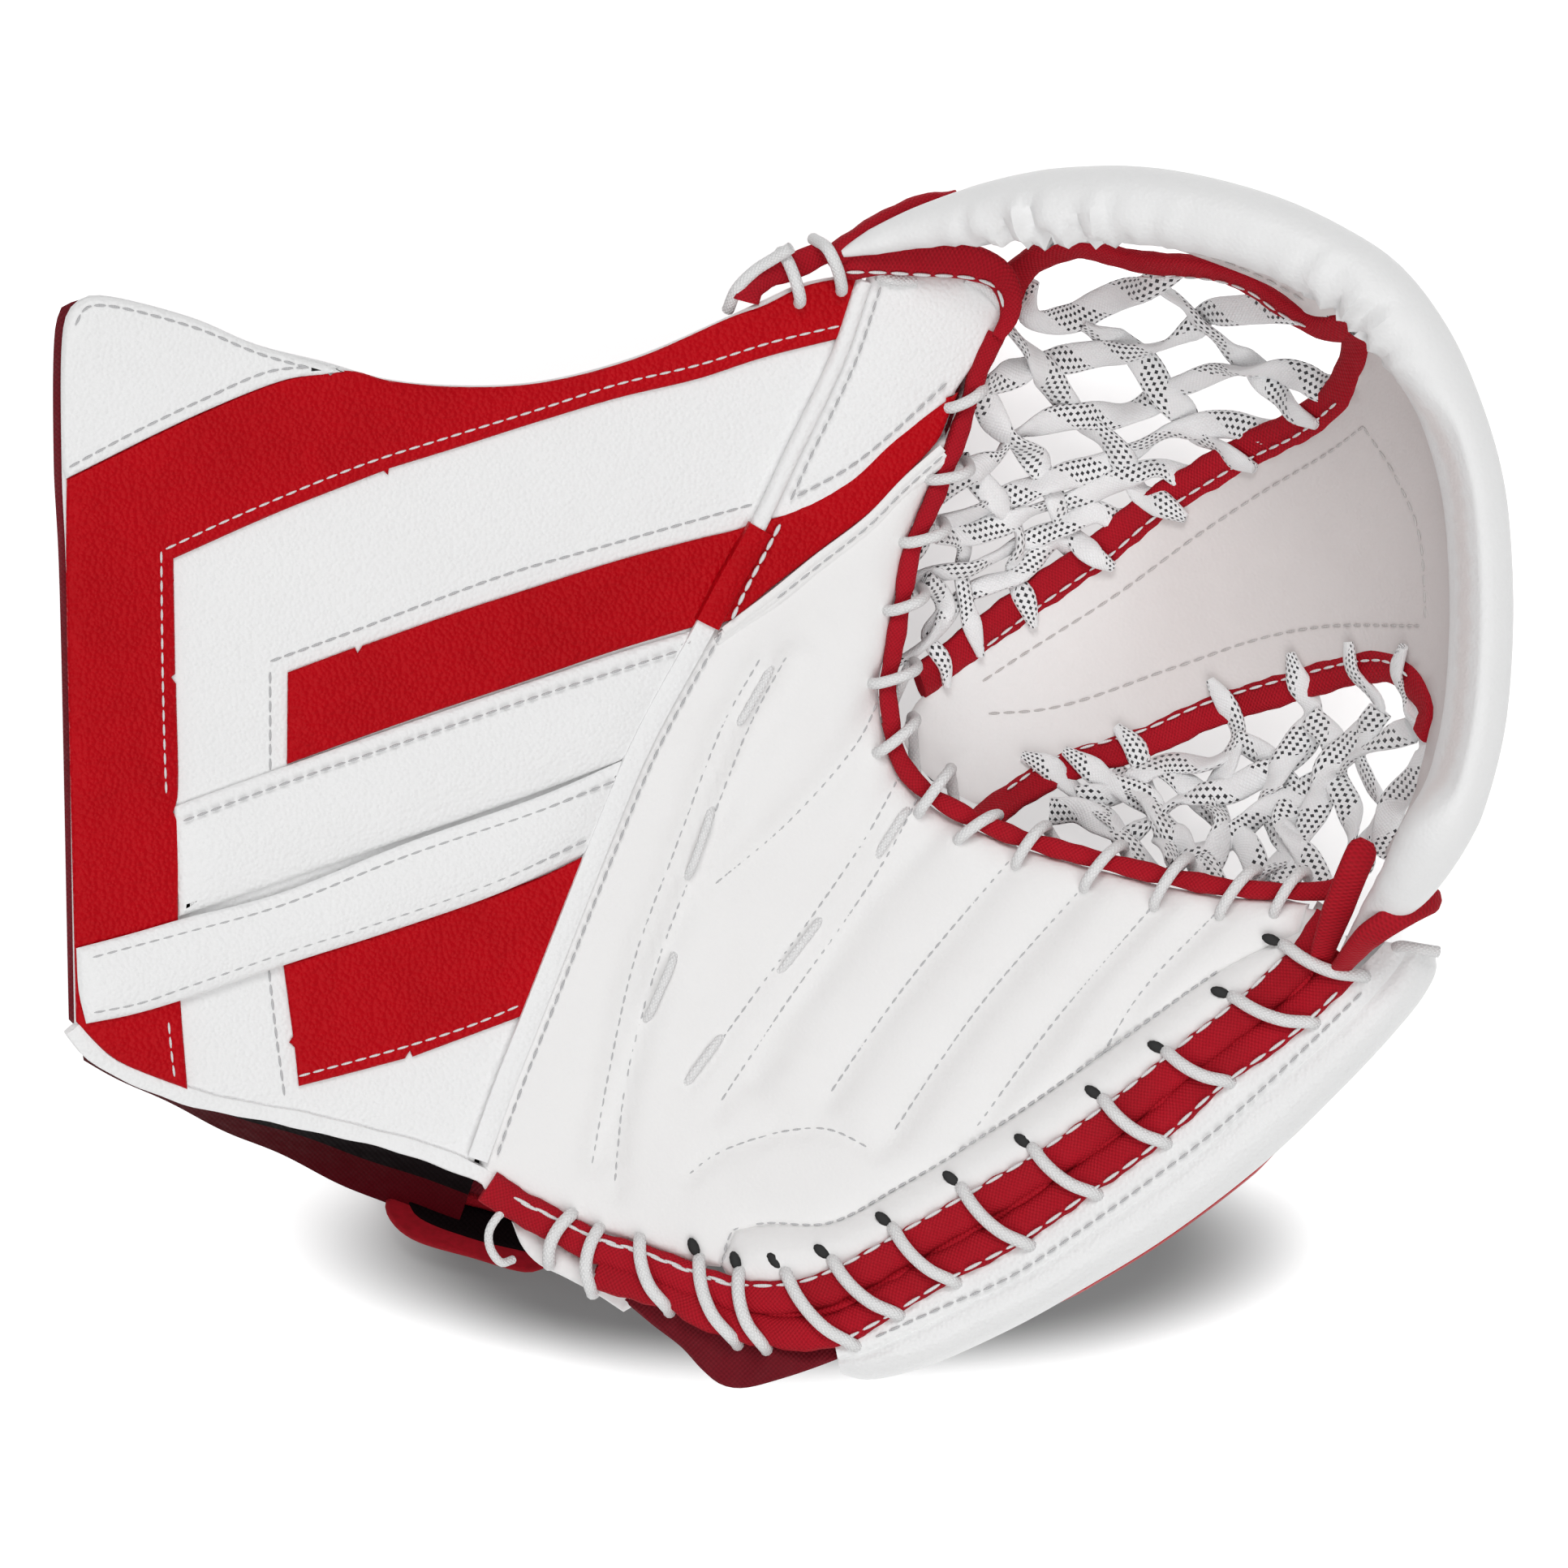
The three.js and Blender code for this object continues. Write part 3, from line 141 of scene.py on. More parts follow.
for lamp_name, energy, softness, tilt, lean in (("key_lamp", 0.94, 22, -28, 0),
                                                ("front_lamp", 1.17, 50, 30, 5)):
    lamp_data = bpy.data.lights.new(lamp_name, "SUN")
    lamp_data.energy = energy
    lamp_data.angle = math.radians(softness)
    lamp = bpy.data.objects.new(lamp_name, lamp_data)
    lamp.rotation_euler = (math.radians(tilt), math.radians(lean), 0)
    bpy.context.scene.collection.objects.link(lamp)
bpy.context.scene.view_settings.view_transform = "Standard"


# Palm and cuff surface: the sewn faces lie on one shallow valley, with its bottom along the break.
# Every panel is cut flat to its pattern and laid on that surface, as the leather is on the foam.
# Outlines are in pixels of the photograph, u to the right and v down.
def at(pixels):
    pixels = np.asarray(pixels, float)
    return np.stack([pixels[..., 0] - middle_pixel, middle_pixel - pixels[..., 1]], -1) * pixel


break_start, break_end = at([1160, 930]), at([640, 1500])
break_ahead = (break_end - break_start) / np.linalg.norm(break_end - break_start)
break_height = 0.05
break_round = 0.03
cuff_slope = 0.34
finger_slope = 0.24
smooth_angle = math.radians(50)


def palm_surface(x, y):
    distance = (x - break_start[0]) * break_ahead[1] - (y - break_start[1]) * break_ahead[0]
    slope = np.where(distance > 0, cuff_slope, finger_slope)
    return break_height + slope * (np.hypot(distance, break_round) - break_round)


def travel(line):
    """How far along a line each of its points is."""
    return np.concatenate([[0], np.cumsum(np.linalg.norm(np.diff(line, axis=0), axis=1))])


def by_share(line, shares):
    """The points at those shares of a line's length."""
    travelled = travel(line)
    stops = shares * travelled[-1]
    return np.stack([np.interp(stops, travelled, line[:, axis]) for axis in range(line.shape[1])], -1)


def smooth_run(points, step):
    """Points along a smooth curve through the given ones, about step apart."""
    knots = np.asarray(points, float)
    ends = np.vstack([2 * knots[0] - knots[1], knots, 2 * knots[-1] - knots[-2]])
    run = []
    for a, b, c, d in zip(ends, ends[1:], ends[2:], ends[3:]):
        ab, bc, cd = (max(np.linalg.norm(q - p) ** 0.5, 1e-6) for p, q in ((a, b), (b, c), (c, d)))
        start_pull = (b - a) / ab - (c - a) / (ab + bc) + (c - b) / bc
        end_pull = (c - b) / bc - (d - b) / (bc + cd) + (d - c) / cd
        t = np.linspace(0, 1, 16, endpoint=False)[:, None]
        run.append(b + start_pull * bc * (t - 2 * t ** 2 + t ** 3) + end_pull * bc * (t ** 3 - t ** 2)
                   + (c - b) * (3 * t ** 2 - 2 * t ** 3))
    run = np.vstack([*run, knots[-1:]])
    count = max(int(round(travel(run)[-1] / step)), 2)
    return by_share(run, np.linspace(0, 1, count + 1))


def pattern(pixels, step=0.003, corner=38):
    """A closed outline in metres, smooth except where it turns by more than corner, in degrees."""
    corners = at(pixels)
    before = corners - np.roll(corners, 1, axis=0)
    after = np.roll(corners, -1, axis=0) - corners
    turn = np.degrees(np.abs(np.arctan2(before[:, 0] * after[:, 1] - before[:, 1] * after[:, 0],
                                        (before * after).sum(1))))
    sharp = [i for i in range(len(corners)) if turn[i] > corner] or [0]
    outline = []
    for first, last in zip(sharp, sharp[1:] + [sharp[0] + len(corners)]):
        side = corners[np.arange(first, last + 1) % len(corners)]
        outline.append(smooth_run(side, step)[:-1])
    outline = np.vstack(outline)
    area = (outline[:, 0] * np.roll(outline[:, 1], -1) - outline[:, 1] * np.roll(outline[:, 0], -1)).sum()
    return outline if area > 0 else outline[::-1]


def reach(x, y, line, closed=False):
    """How far each point is from a line of points."""
    starts = line if closed else line[:-1]
    ends = np.roll(line, -1, axis=0) if closed else line[1:]
    nearest = np.full(len(x), 1e9)
    for (ax, ay), (bx, by) in zip(starts, ends):
        run_x, run_y = bx - ax, by - ay
        share = np.clip(((x - ax) * run_x + (y - ay) * run_y) / (run_x ** 2 + run_y ** 2 + 1e-12), 0, 1)
        nearest = np.minimum(nearest, np.hypot(x - ax - share * run_x, y - ay - share * run_y))
    return nearest


def near(distance, width):
    """1 on the spot, and close to 0 from twice that width on."""
    return np.exp(-(distance / width) ** 2)


def on_surface(surface, x, y, lift):
    """Points at that height over the surface, and its normals there."""
    nudge = 0.0008
    slope_x = (surface(x + nudge, y) - surface(x - nudge, y)) / (2 * nudge)
    slope_y = (surface(x, y + nudge) - surface(x, y - nudge)) / (2 * nudge)
    normal = np.stack([-slope_x, -slope_y, np.ones_like(slope_x)], -1)
    normal /= np.linalg.norm(normal, axis=-1, keepdims=True)
    return np.stack([x, y, surface(x, y)], -1) + normal * np.reshape(lift, (-1, 1)), normal


def corners_of(piece):
    places = np.empty(len(piece.data.vertices) * 3)
    piece.data.vertices.foreach_get("co", places)
    return places.reshape(-1, 3)


def set_corners(piece, places):
    piece.data.vertices.foreach_set("co", np.asarray(places, float).ravel())
    piece.data.update()


def cut_panel(name, outline, cell, rims):
    """Leather cut to its pattern, with a fine edge and a square mesh between."""
    bpy.ops.mesh.primitive_circle_add(vertices=len(outline), radius=0.1, fill_type="NGON")
    panel = bpy.context.object
    panel.name = name
    panel.data.name = name
    set_corners(panel, np.column_stack([outline, np.zeros(len(outline))]))
    bpy.ops.object.mode_set(mode="EDIT")
    for rim in rims:
        bpy.ops.mesh.inset(thickness=rim, use_boundary=True, use_even_offset=False)
    for axis in (0, 1):
        low, high = outline[:, axis].min(), outline[:, axis].max()
        for line in np.arange(math.ceil(low / cell) * cell, high, cell):
            place, across = [0, 0, 0], [0, 0, 0]
            place[axis], across[axis] = line, 1
            bpy.ops.mesh.select_all(action="SELECT")
            bpy.ops.mesh.bisect(plane_co=place, plane_no=across)
    bpy.ops.object.mode_set(mode="OBJECT")
    return panel


def make_panel(name, pixels, surface, lift, thickness, cell=0.006, rims=(0.0005, 0.0009), roundness=0.0012,
               dome=None, crown=None, **cut):
    """Cuts a panel, lays it on the surface, rounds its edge over and gives it its thickness.

    A dome is how high the panel swells and over what width from its edge."""
    outline = pattern(pixels, **cut)
    panel = cut_panel(name, outline, cell, rims)
    x, y = corners_of(panel)[:, :2].T
    border = reach(x, y, outline, closed=True)
    edge = np.clip(border / roundness, 0, 1)
    height = lift - min(roundness, thickness * 0.7) * (1 - np.sqrt(1 - (1 - edge) ** 2))
    if dome is not None:
        height = height + dome[0] * (1 - near(border, dome[1]))
    if crown is not None:
        height = height + crown(x, y)
    set_corners(panel, on_surface(surface, x, y, height)[0])
    wall = panel.modifiers.new("thickness", "SOLIDIFY")
    wall.thickness = thickness
    wall.offset = -1
    bpy.ops.object.modifier_apply(modifier=wall.name)
    bpy.ops.object.shade_smooth_by_angle(angle=smooth_angle)
    return panel


# Leather: a synthetic with a fine pebble grain, a little sheen on the grain's tops and slow
# changes of tone from handling. White, soft white and red leather share the grain.
def new_group(name, settings, results):
    """A node group that makes those results from a vector and those settings."""
    group = bpy.data.node_groups.new(name, "ShaderNodeTree")
    group.interface.new_socket(name="Vector", in_out="INPUT", socket_type="NodeSocketVector")
    for setting, value in settings.items():
        socket = group.interface.new_socket(name=setting, in_out="INPUT", socket_type="NodeSocketFloat")
        socket.default_value = value
    for result in results:
        group.interface.new_socket(name=result, in_out="OUTPUT", socket_type="NodeSocketFloat")
    return group, group.nodes.new("NodeGroupInput").outputs, group.nodes.new("NodeGroupOutput")


def noise(tree, vector, scale, detail=2, distortion=0):
    return add_node(tree, "TexNoise", {
        "Vector": vector, "Scale": scale, "Detail": detail, "Distortion": distortion})["Fac"]


grain, grain_in, grain_out = new_group("leather_grain", {"Scale": 900.0}, ("Height", "Tone", "Wear"))
pebbles = add_node(grain, "TexVoronoi", {
    "Vector": grain_in["Vector"], "Scale": grain_in["Scale"], "Smoothness": 0.35},
                   feature="SMOOTH_F1")["Distance"]
pores = noise(grain, grain_in["Vector"], calculate(grain, "MULTIPLY", grain_in["Scale"], 0.6), 4)
creases = noise(grain, grain_in["Vector"], 60, 3, 1.2)
patches = noise(grain, grain_in["Vector"], 14)
round_tops = calculate(grain, "SUBTRACT", 1, pebbles)
with_pores = calculate(grain, "MULTIPLY_ADD", pores, 0.5, round_tops)
rubbed = calculate(grain, "MULTIPLY", pebbles, 0.6)
plug(grain, grain_out, {
    "Height": calculate(grain, "MULTIPLY_ADD", creases, 0.5, with_pores),
    "Tone": calculate(grain, "MULTIPLY_ADD", patches, 0.6, calculate(grain, "MULTIPLY", creases, 0.4)),
    "Wear": calculate(grain, "MULTIPLY_ADD", pores, 0.5, rubbed, clamp=True)})


def place_group(tree, group, source, **settings):
    """A group's results, placed by the piece's own axes or by its UV."""
    inputs = {name.title(): value for name, value in settings.items()}
    inputs["Vector"] = add_node(tree, "TexCoord", {})[source]
    return add_node(tree, "Group", inputs, node_tree=group)


def stretch(tree, value, low, high):
    return add_node(tree, "MapRange", {"Value": value, "To Min": low, "To Max": high})["Result"]


def bumped(tree, height, strength, distance):
    return add_node(tree, "Bump", {"Height": height, "Strength": strength, "Distance": distance})["Normal"]


def leather_finish(name, light, dark, rough, scale, depth, shine=0.4):
    finish, tree, shader = new_finish(name)
    skin = place_group(tree, grain, "Object", scale=scale)
    plug(tree, shader, {
        "Base Color": blend_colors(tree, skin["Tone"], dark, light),
        "Roughness": stretch(tree, skin["Wear"], rough - 0.08, rough + 0.12),
        "Specular IOR Level": shine,
        "Normal": bumped(tree, skin["Height"], 0.55, depth)})
    return finish


white_leather = leather_finish("white_leather", (0.89, 0.89, 0.89), (0.83, 0.83, 0.83),
                               0.42, 850, 0.00042)
soft_leather = leather_finish("soft_leather", (0.885, 0.88, 0.876), (0.83, 0.82, 0.815),
                              0.5, 1100, 0.00012)
red_leather = leather_finish("red_leather", (0.55, 0.002, 0.009), (0.33, 0.001, 0.004),
                             0.34, 800, 0.0007)
red_leather.node_tree.nodes["Principled BSDF"].inputs["Specular Tint"].default_value = (1, 0.16, 0.16, 1)


# Cuff board: a stiff board in foam, covered on its back and sides with dark red nylon. The cover is
# one padded shell with round edges, and it shows as a thin red line along the left side.
cuff_cover_px = [[77, 407], [84, 386], [103, 377], [127, 375], [238, 402], [317, 435], [404, 457],
                 [475, 477], [554, 485], [660, 481], [780, 451], [903, 398], [940, 385], [1000, 369],
                 [1022, 372], [1030, 390], [1010, 441], [960, 559], [916, 650], [850, 772], [772, 916],
                 [718, 1044], [640, 1248], [604, 1340], [582, 1398], [560, 1414], [514, 1406], [376, 1374],
                 [238, 1344], [139, 1306], [91, 1262], [80, 700], [74, 573]]


def across_and_along(tree, vector):
    return add_node(tree, "SeparateXYZ", {0: vector})[:2]


weave, weave_in, weave_out = new_group("nylon_weave", {"Pitch": 0.0011}, ("Height", "Shade", "Dust"))
turns = calculate(weave, "DIVIDE", math.tau, weave_in["Pitch"])
warp, weft = (calculate(weave, "SINE", calculate(weave, "MULTIPLY", place, turns))
              for place in across_and_along(weave, weave_in["Vector"]))
crossing = calculate(weave, "MULTIPLY", warp, weft)
fuzz = noise(weave, weave_in["Vector"], 260, 3)
cloud = calculate(weave, "MULTIPLY", noise(weave, weave_in["Vector"], 22), 0.9)
plug(weave, weave_out, {
    "Height": calculate(weave, "MULTIPLY_ADD", fuzz, 0.5, crossing),
    "Shade": calculate(weave, "MULTIPLY_ADD", crossing, 0.22, cloud, clamp=True),
    "Dust": fuzz})


def cloth_finish(name, light, dark, pitch, depth, source="Object", shine=0.25):
    """Woven cloth. Its source is UV where the weave follows a strip's length."""
    finish, tree, shader = new_finish(name)
    cloth = place_group(tree, weave, source, pitch=pitch)
    plug(tree, shader, {
        "Base Color": blend_colors(tree, cloth["Shade"], dark, light),
        "Roughness": stretch(tree, cloth["Dust"], 0.6, 0.95),
        "Specular IOR Level": shine,
        "Normal": bumped(tree, cloth["Height"], 0.6, depth)})
    return finish


dark_nylon = cloth_finish("dark_red_nylon", (0.22, 0.004, 0.014), (0.09, 0.001, 0.005),
                          0.0014, 0.00018)
red_nylon = cloth_finish("red_nylon_binding", (0.60, 0.005, 0.022), (0.26, 0.001, 0.006),
                         0.0012, 0.0003, "UV")


def dress(piece, finish, body, *nodes):
    """Gives a finished piece its material, name and body, and hides the CAD nodes that it stands for."""
    piece.data.materials.clear()
    piece.data.materials.append(finish)
    if nodes:
        piece.name = f"{nodes[0]}_sewn"
        piece.data.name = piece.name
    if body:
        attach(piece, body)
    if nodes:
        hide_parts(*nodes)
    return piece


cuff_cover = make_panel("cuff_cover", cuff_cover_px, palm_surface, -0.0022, 0.0158, cell=0.008,
                        rims=(0.0010, 0.0014), roundness=0.004)
dress(cuff_cover, dark_nylon, "cuff", "cuff_board", "cuff_back_cover", "cuff_side_cover")


# Cuff face: one sheet of white grained leather, cut to the cuff's outline and sewn round its edge.
# It lies straight on the board, and all the panels and bands are sewn down on it.
cuff_face_px = [[82, 403], [90, 382], [106, 369], [125, 366], [238, 393], [317, 426], [404, 448], [475, 468],
                [554, 476], [660, 472], [780, 442], [903, 389], [940, 372], [990, 350], [1064, 337],
                [1031, 441], [975, 559], [932, 650], [867, 772], [789, 916], [735, 1044], [655, 1248],
                [619, 1340], [584, 1434], [514, 1408], [376, 1374], [238, 1344], [139, 1304], [93, 1262],
                [84, 700], [79, 573]]
cuff_face = make_panel("cuff_face", cuff_face_px, palm_surface, 0, 0.002, roundness=0.0015)
dress(cuff_face, white_leather, "cuff", "cuff_face")


# Cuff panels: the white corner piece and the red stripes are thinner leather, laid on the face with
# raw cut edges that show small notches where the knife turned, and sewn down near their edges.
stripe_thickness = 0.0012
stripe_top = 0.0015
corner_panel_px = [[81, 403], [88, 383], [103, 369], [125, 366], [238, 393], [317, 426], [398, 449],
                   [424, 457], [396, 461], [356, 466], [250, 507], [82, 589], [78, 573]]
outer_stripe_px = [[83, 590], [250, 508], [356, 466], [434, 457], [475, 468], [554, 476], [660, 472],
                   [780, 442], [903, 389], [940, 376], [990, 352], [1058, 338], [1050, 378], [1043, 414],
                   [940, 440], [860, 466], [760, 490], [660, 520], [560, 552], [479, 577], [478, 585],
                   [472, 580], [345, 630], [214, 688], [216, 830], [211, 834], [217, 842], [218, 985],
                   [213, 1000], [219, 1010], [220, 1200], [230, 1342], [139, 1303], [93, 1258], [82, 700]]
upper_stripe_px = [[354, 828], [437, 797], [440, 804], [446, 795], [562, 754], [660, 722], [760, 690],
                   [860, 663], [912, 650], [938, 638], [905, 700], [867, 768], [760, 800], [660, 834],
                   [500, 888], [353, 941]]
lower_stripe_px = [[348, 1187], [491, 1140], [560, 1116], [660, 1082], [735, 1046], [700, 1140], [655, 1247],
                   [507, 1302], [504, 1294], [498, 1304], [430, 1322], [367, 1338], [362, 1290], [355, 1284],
                   [360, 1276]]
for stripe_name, stripe_px in (("cuff_outer_stripe", outer_stripe_px), ("cuff_upper_stripe", upper_stripe_px),
                               ("cuff_lower_stripe", lower_stripe_px)):
    stripe = make_panel(stripe_name, stripe_px, palm_surface, stripe_top, stripe_thickness,
                        rims=(0.0003, 0.0005), roundness=0.0008, step=0.002, corner=30)
    dress(stripe, red_leather, "cuff", stripe_name)
corner_panel = make_panel("cuff_corner_panel", corner_panel_px, palm_surface, 0.0025, 0.0022)
dress(corner_panel, white_leather, "cuff", "cuff_corner_panel")


# Raised bands: white leather folded over a thin foam core, in two steps across the cuff. The upper one
# is broad and flat, and the lower one stands higher and runs out past the red stripe to the edge.
# Both sink to one level where the seam to the palm holds them down.
upper_band_px = [[214, 993], [352, 943], [500, 891], [660, 837], [760, 804], [862, 774], [800, 892],
                 [780, 930], [660, 976], [500, 1032], [340, 1088], [220, 1128]]
lower_band_px = [[92, 1166], [160, 1148], [222, 1130], [337, 1100], [500, 1036], [660, 980], [779, 931],
                 [755, 990], [734, 1045], [609, 1100], [480, 1145], [348, 1187], [222, 1230], [160, 1248],
                 [104, 1259], [95, 1220]]
seam_px = [[1062, 341], [1031, 441], [975, 559], [932, 650], [867, 772], [789, 916], [735, 1044], [655, 1248],
           [619, 1340], [584, 1436]]
band_at_seam = 0.0017
for band_name, band_px, band_lift, band_wall in (("cuff_upper_band", upper_band_px, 0.0021, 0.0017),
                                                 ("cuff_lower_band", lower_band_px, 0.0036, 0.0018)):
    def held_by_seam(x, y):
        return (band_at_seam - band_lift) * near(reach(x, y, at(seam_px)), 0.010)

    band = make_panel(band_name, band_px, palm_surface, band_lift, band_wall, cell=0.004,
                      rims=(0.0005, 0.0009, 0.0014), roundness=0.0026, dome=(0.0012, 0.006),
                      crown=held_by_seam, corner=34)
    dress(band, white_leather, "cuff", band_name)


# Stitches: lockstitch in bonded thread, one short thread after the other, with the needle's hole
# drawing each end down. It is white, and on the white leather it is painted grey, as the shade where it sinks
# in.
def thread_finish(name, color, rough):
    finish, tree, shader = new_finish(name)
    place = add_node(tree, "TexCoord", {})["Object"]
    twist = add_node(tree, "TexWave", {"Vector": place, "Scale": 900, "Distortion": 2})["Fac"]
    dark = tuple(value * 0.72 for value in color)
    plug(tree, shader, {
        "Base Color": blend_colors(tree, twist, dark, color),
        "Roughness": rough,
        "Normal": bumped(tree, twist, 0.4, 0.0001)})
    return finish


white_thread = thread_finish("white_thread", (0.86, 0.85, 0.85), 0.75)
# Painted shade: on white leather the white thread is painted grey, as the shade where it sinks in.
painted_shade_thread = thread_finish("painted_shade_thread", (0.60, 0.60, 0.61), 0.8)


def curve_through(name, places):
    line = bpy.data.curves.new(name, "CURVE")
    line.dimensions = "3D"
    line.twist_mode = "Z_UP"
    spline = line.splines.new("POLY")
    spline.points.add(len(places) - 1)
    spline.points.foreach_set("co", np.column_stack([places, np.ones(len(places))]).ravel())
    guide = bpy.data.objects.new(name, line)
    bpy.context.scene.collection.objects.link(guide)
    return guide


def headings(line):
    """The direction of a line at each of its points."""
    ahead = np.gradient(line, axis=0)
    return ahead / np.linalg.norm(ahead, axis=1, keepdims=True)


def line_on(surface, pixels, step, lift, shift=0):
    """Points on a surface along a smooth line, and the surface's normals there."""
    line = smooth_run(at(pixels), step)
    if np.any(shift):
        ahead = headings(line)
        line = line + np.stack([ahead[:, 1], -ahead[:, 0]], -1) * np.reshape(shift, (-1, 1))
    return on_surface(surface, *line.T, lift)


def join_as(name, pieces):
    """Joins the pieces into one of that name."""
    bpy.ops.object.select_all(action="DESELECT")
    for piece in pieces:
        piece.select_set(True)
    bpy.context.view_layer.objects.active = pieces[0]
    if len(pieces) > 1:
        bpy.ops.object.join()
    pieces[0].name = name
    return pieces[0]


def sew(name, finish, body, rows, surface, lift, pitch=0.0040, length=0.0034, thread=0.00036):
    """Rows of stitches along lines of pixels. One stitch is made, repeated and bent to the line."""
    made = []
    for row in rows:
        places, _ = line_on(surface, row, 0.002, lift)
        guide = curve_through("stitch_line", places)
        bpy.ops.mesh.primitive_uv_sphere_add(segments=6, ring_count=5, radius=1)
        stitch = bpy.context.object
        stitch.rotation_euler = (0, math.pi / 2, 0)
        stitch.scale = (thread * 0.8, thread, length / 2)
        stitch.location = (length / 2, 0, 0)
        bpy.ops.object.transform_apply(location=True, rotation=True, scale=True)
        repeat = stitch.modifiers.new("repeat", "ARRAY")
        repeat.use_relative_offset = False
        repeat.use_constant_offset = True
        repeat.constant_offset_displace = (pitch, 0, 0)
        repeat.count = max(int(travel(places)[-1] / pitch), 1)
        bend = stitch.modifiers.new("bend", "CURVE")
        bend.object = guide
        bpy.ops.object.modifier_apply(modifier="repeat")
        bpy.ops.object.modifier_apply(modifier="bend")
        bpy.data.objects.remove(guide)
        made.append(stitch)
    sewn = join_as(name, made)
    bpy.ops.object.shade_smooth()
    return dress(sewn, finish, body)


sew("cuff_red_stitches", white_thread, "cuff", [
    [[1050, 396], [950, 420], [860, 448], [760, 472], [660, 504], [550, 538], [447, 571], [293, 634],
     [198, 678]],
    [[198, 678], [199, 800], [201, 900], [204, 986]], [[206, 1258], [210, 1300], [215, 1338]],
    [[366, 1325], [500, 1288], [580, 1262], [652, 1232]],
], palm_surface, stripe_top + 0.0001)
sew("cuff_white_stitches", painted_shade_thread, "cuff", [
    [[333, 949], [333, 880], [333, 815]],
    [[333, 815], [440, 776], [540, 738], [629, 706], [740, 674], [860, 640], [938, 618]],
    [[331, 1195], [338, 1260], [352, 1366]],
], palm_surface, 0.0002)
sew("cuff_corner_stitches", painted_shade_thread, "cuff", [
    [[84, 574], [166, 530], [250, 490], [330, 456], [384, 450]],
    [[92, 400], [104, 379], [125, 375], [238, 402], [317, 434], [392, 455]],
], palm_surface, 0.0027)
sew("cuff_band_stitches", painted_shade_thread, "cuff", [
    [[222, 1008], [352, 960], [500, 909], [660, 854], [760, 822], [846, 794]],
    [[110, 1176], [170, 1160], [222, 1146], [337, 1114], [500, 1050], [660, 996], [766, 954]],
    [[112, 1244], [170, 1232], [222, 1214], [348, 1170], [480, 1128], [609, 1082], [728, 1028]],
], palm_surface, 0.0038)


# Piping and welt: the cuff's lower edge is a white leather fold with a raw curled end, and a flat
# white welt with a running stitch, painted grey as shade, closes the seam between the cuff and the
# palm. A red fold of the stripe's leather lies over the welt between the cuff's stripe and the thumb's.
def skin_over(name, loops):
    """A closed skin over a run of loops of points, with a flat end at each side."""
    rows, around = loops.shape[:2]
    bpy.ops.mesh.primitive_grid_add(x_subdivisions=around, y_subdivisions=rows - 1, size=1)
    skin = bpy.context.object
    skin.name = name
    skin.data.name = name
    set_corners(skin, np.concatenate([loops, loops[:, :1]], axis=1))
    bpy.ops.object.mode_set(mode="EDIT")
    bpy.ops.mesh.select_all(action="SELECT")
    bpy.ops.mesh.remove_doubles(threshold=0.000001)
    bpy.ops.mesh.select_all(action="DESELECT")
    bpy.ops.mesh.select_non_manifold()
    bpy.ops.mesh.fill_holes(sides=0)
    bpy.ops.mesh.select_all(action="SELECT")
    bpy.ops.mesh.normals_make_consistent(inside=False)
    bpy.ops.object.mode_set(mode="OBJECT")
    bpy.ops.object.shade_smooth_by_angle(angle=smooth_angle)
    return skin


def wrap_along(name, places, ups, section):
    """A skin wrapped along a line in that section. Its UV runs across and along it in metres."""
    section = np.broadcast_to(section, (len(places), *np.shape(section)[-2:]))
    ahead = headings(places)
    across = np.cross(ahead, ups)
    across /= np.linalg.norm(across, axis=1, keepdims=True)
    above = np.cross(across, ahead)
    strip = skin_over(name, places[:, None] + across[:, None] * section[..., :1]
                      + above[:, None] * section[..., 1:])
    girth = travel(np.vstack([section[0], section[0, :1]]))[-1]
    corners = strip.data.uv_layers[0].data
    uv = np.empty(len(corners) * 2)
    corners.foreach_get("uv", uv)
    corners.foreach_set("uv", (uv.reshape(-1, 2) * (girth, travel(places)[-1])).ravel())
    return strip


def rounded(width, height, sides, squareness=0.5):
    """A rounded section, from an oval at 0 to nearly a box at 1."""
    turn = (np.arange(sides) + 0.5) * 2 * np.pi / sides
    square = np.maximum(np.abs(np.cos(turn)), np.abs(np.sin(turn))) ** -squareness
    return np.stack([np.cos(turn) * square * width / 2, np.sin(turn) * square * height / 2], -1)


piping_px = [[94, 1264], [112, 1286], [140, 1308], [238, 1347], [376, 1376], [514, 1411], [570, 1432],
             [606, 1450], [611, 1462], [600, 1470]]
piping_places, piping_ups = line_on(palm_surface, piping_px, 0.003, -0.0012, 0.0012)
stations = np.arange(len(piping_places))
fullness = 1 + 0.12 * np.sin(stations * 0.9) * np.sin(stations * 0.37)
piping = wrap_along("cuff_piping", piping_places, piping_ups,
                    rounded(0.0050, 0.0046, 12) * fullness[:, None, None])
dress(piping, white_leather, "cuff", "cuff_piping")

welt_px = [[1068, 346], [1036, 441], [980, 559], [937, 650], [872, 772], [794, 916], [740, 1044], [660, 1248],
           [624, 1340], [592, 1430]]
welt_places, welt_ups = line_on(palm_surface, welt_px, 0.003, 0.0016, 0.0012)
welt_share = np.linspace(0, 1, len(welt_places))[:, None, None]
rolled = np.clip((0.36 - welt_share) / 0.08, 0, 1)
welt = wrap_along("cuff_seam_welt", welt_places, welt_ups,
                  rounded(0.0046, 0.0038, 14, 0.3) * rolled + rounded(0.0058, 0.0022, 14, 0.8) * (1 - rolled))
dress(welt, white_leather, "cuff", "cuff_seam_welt")
red_fold_px = [[935, 649], [898, 712], [869, 767]]
red_fold = wrap_along("welt_red_fold", *line_on(palm_surface, red_fold_px, 0.003, 0.0018),
                      rounded(0.0076, 0.0044, 14))
dress(red_fold, red_leather, "cuff")
stitched_px = [[u + 15, v + 5] for u, v in welt_px]
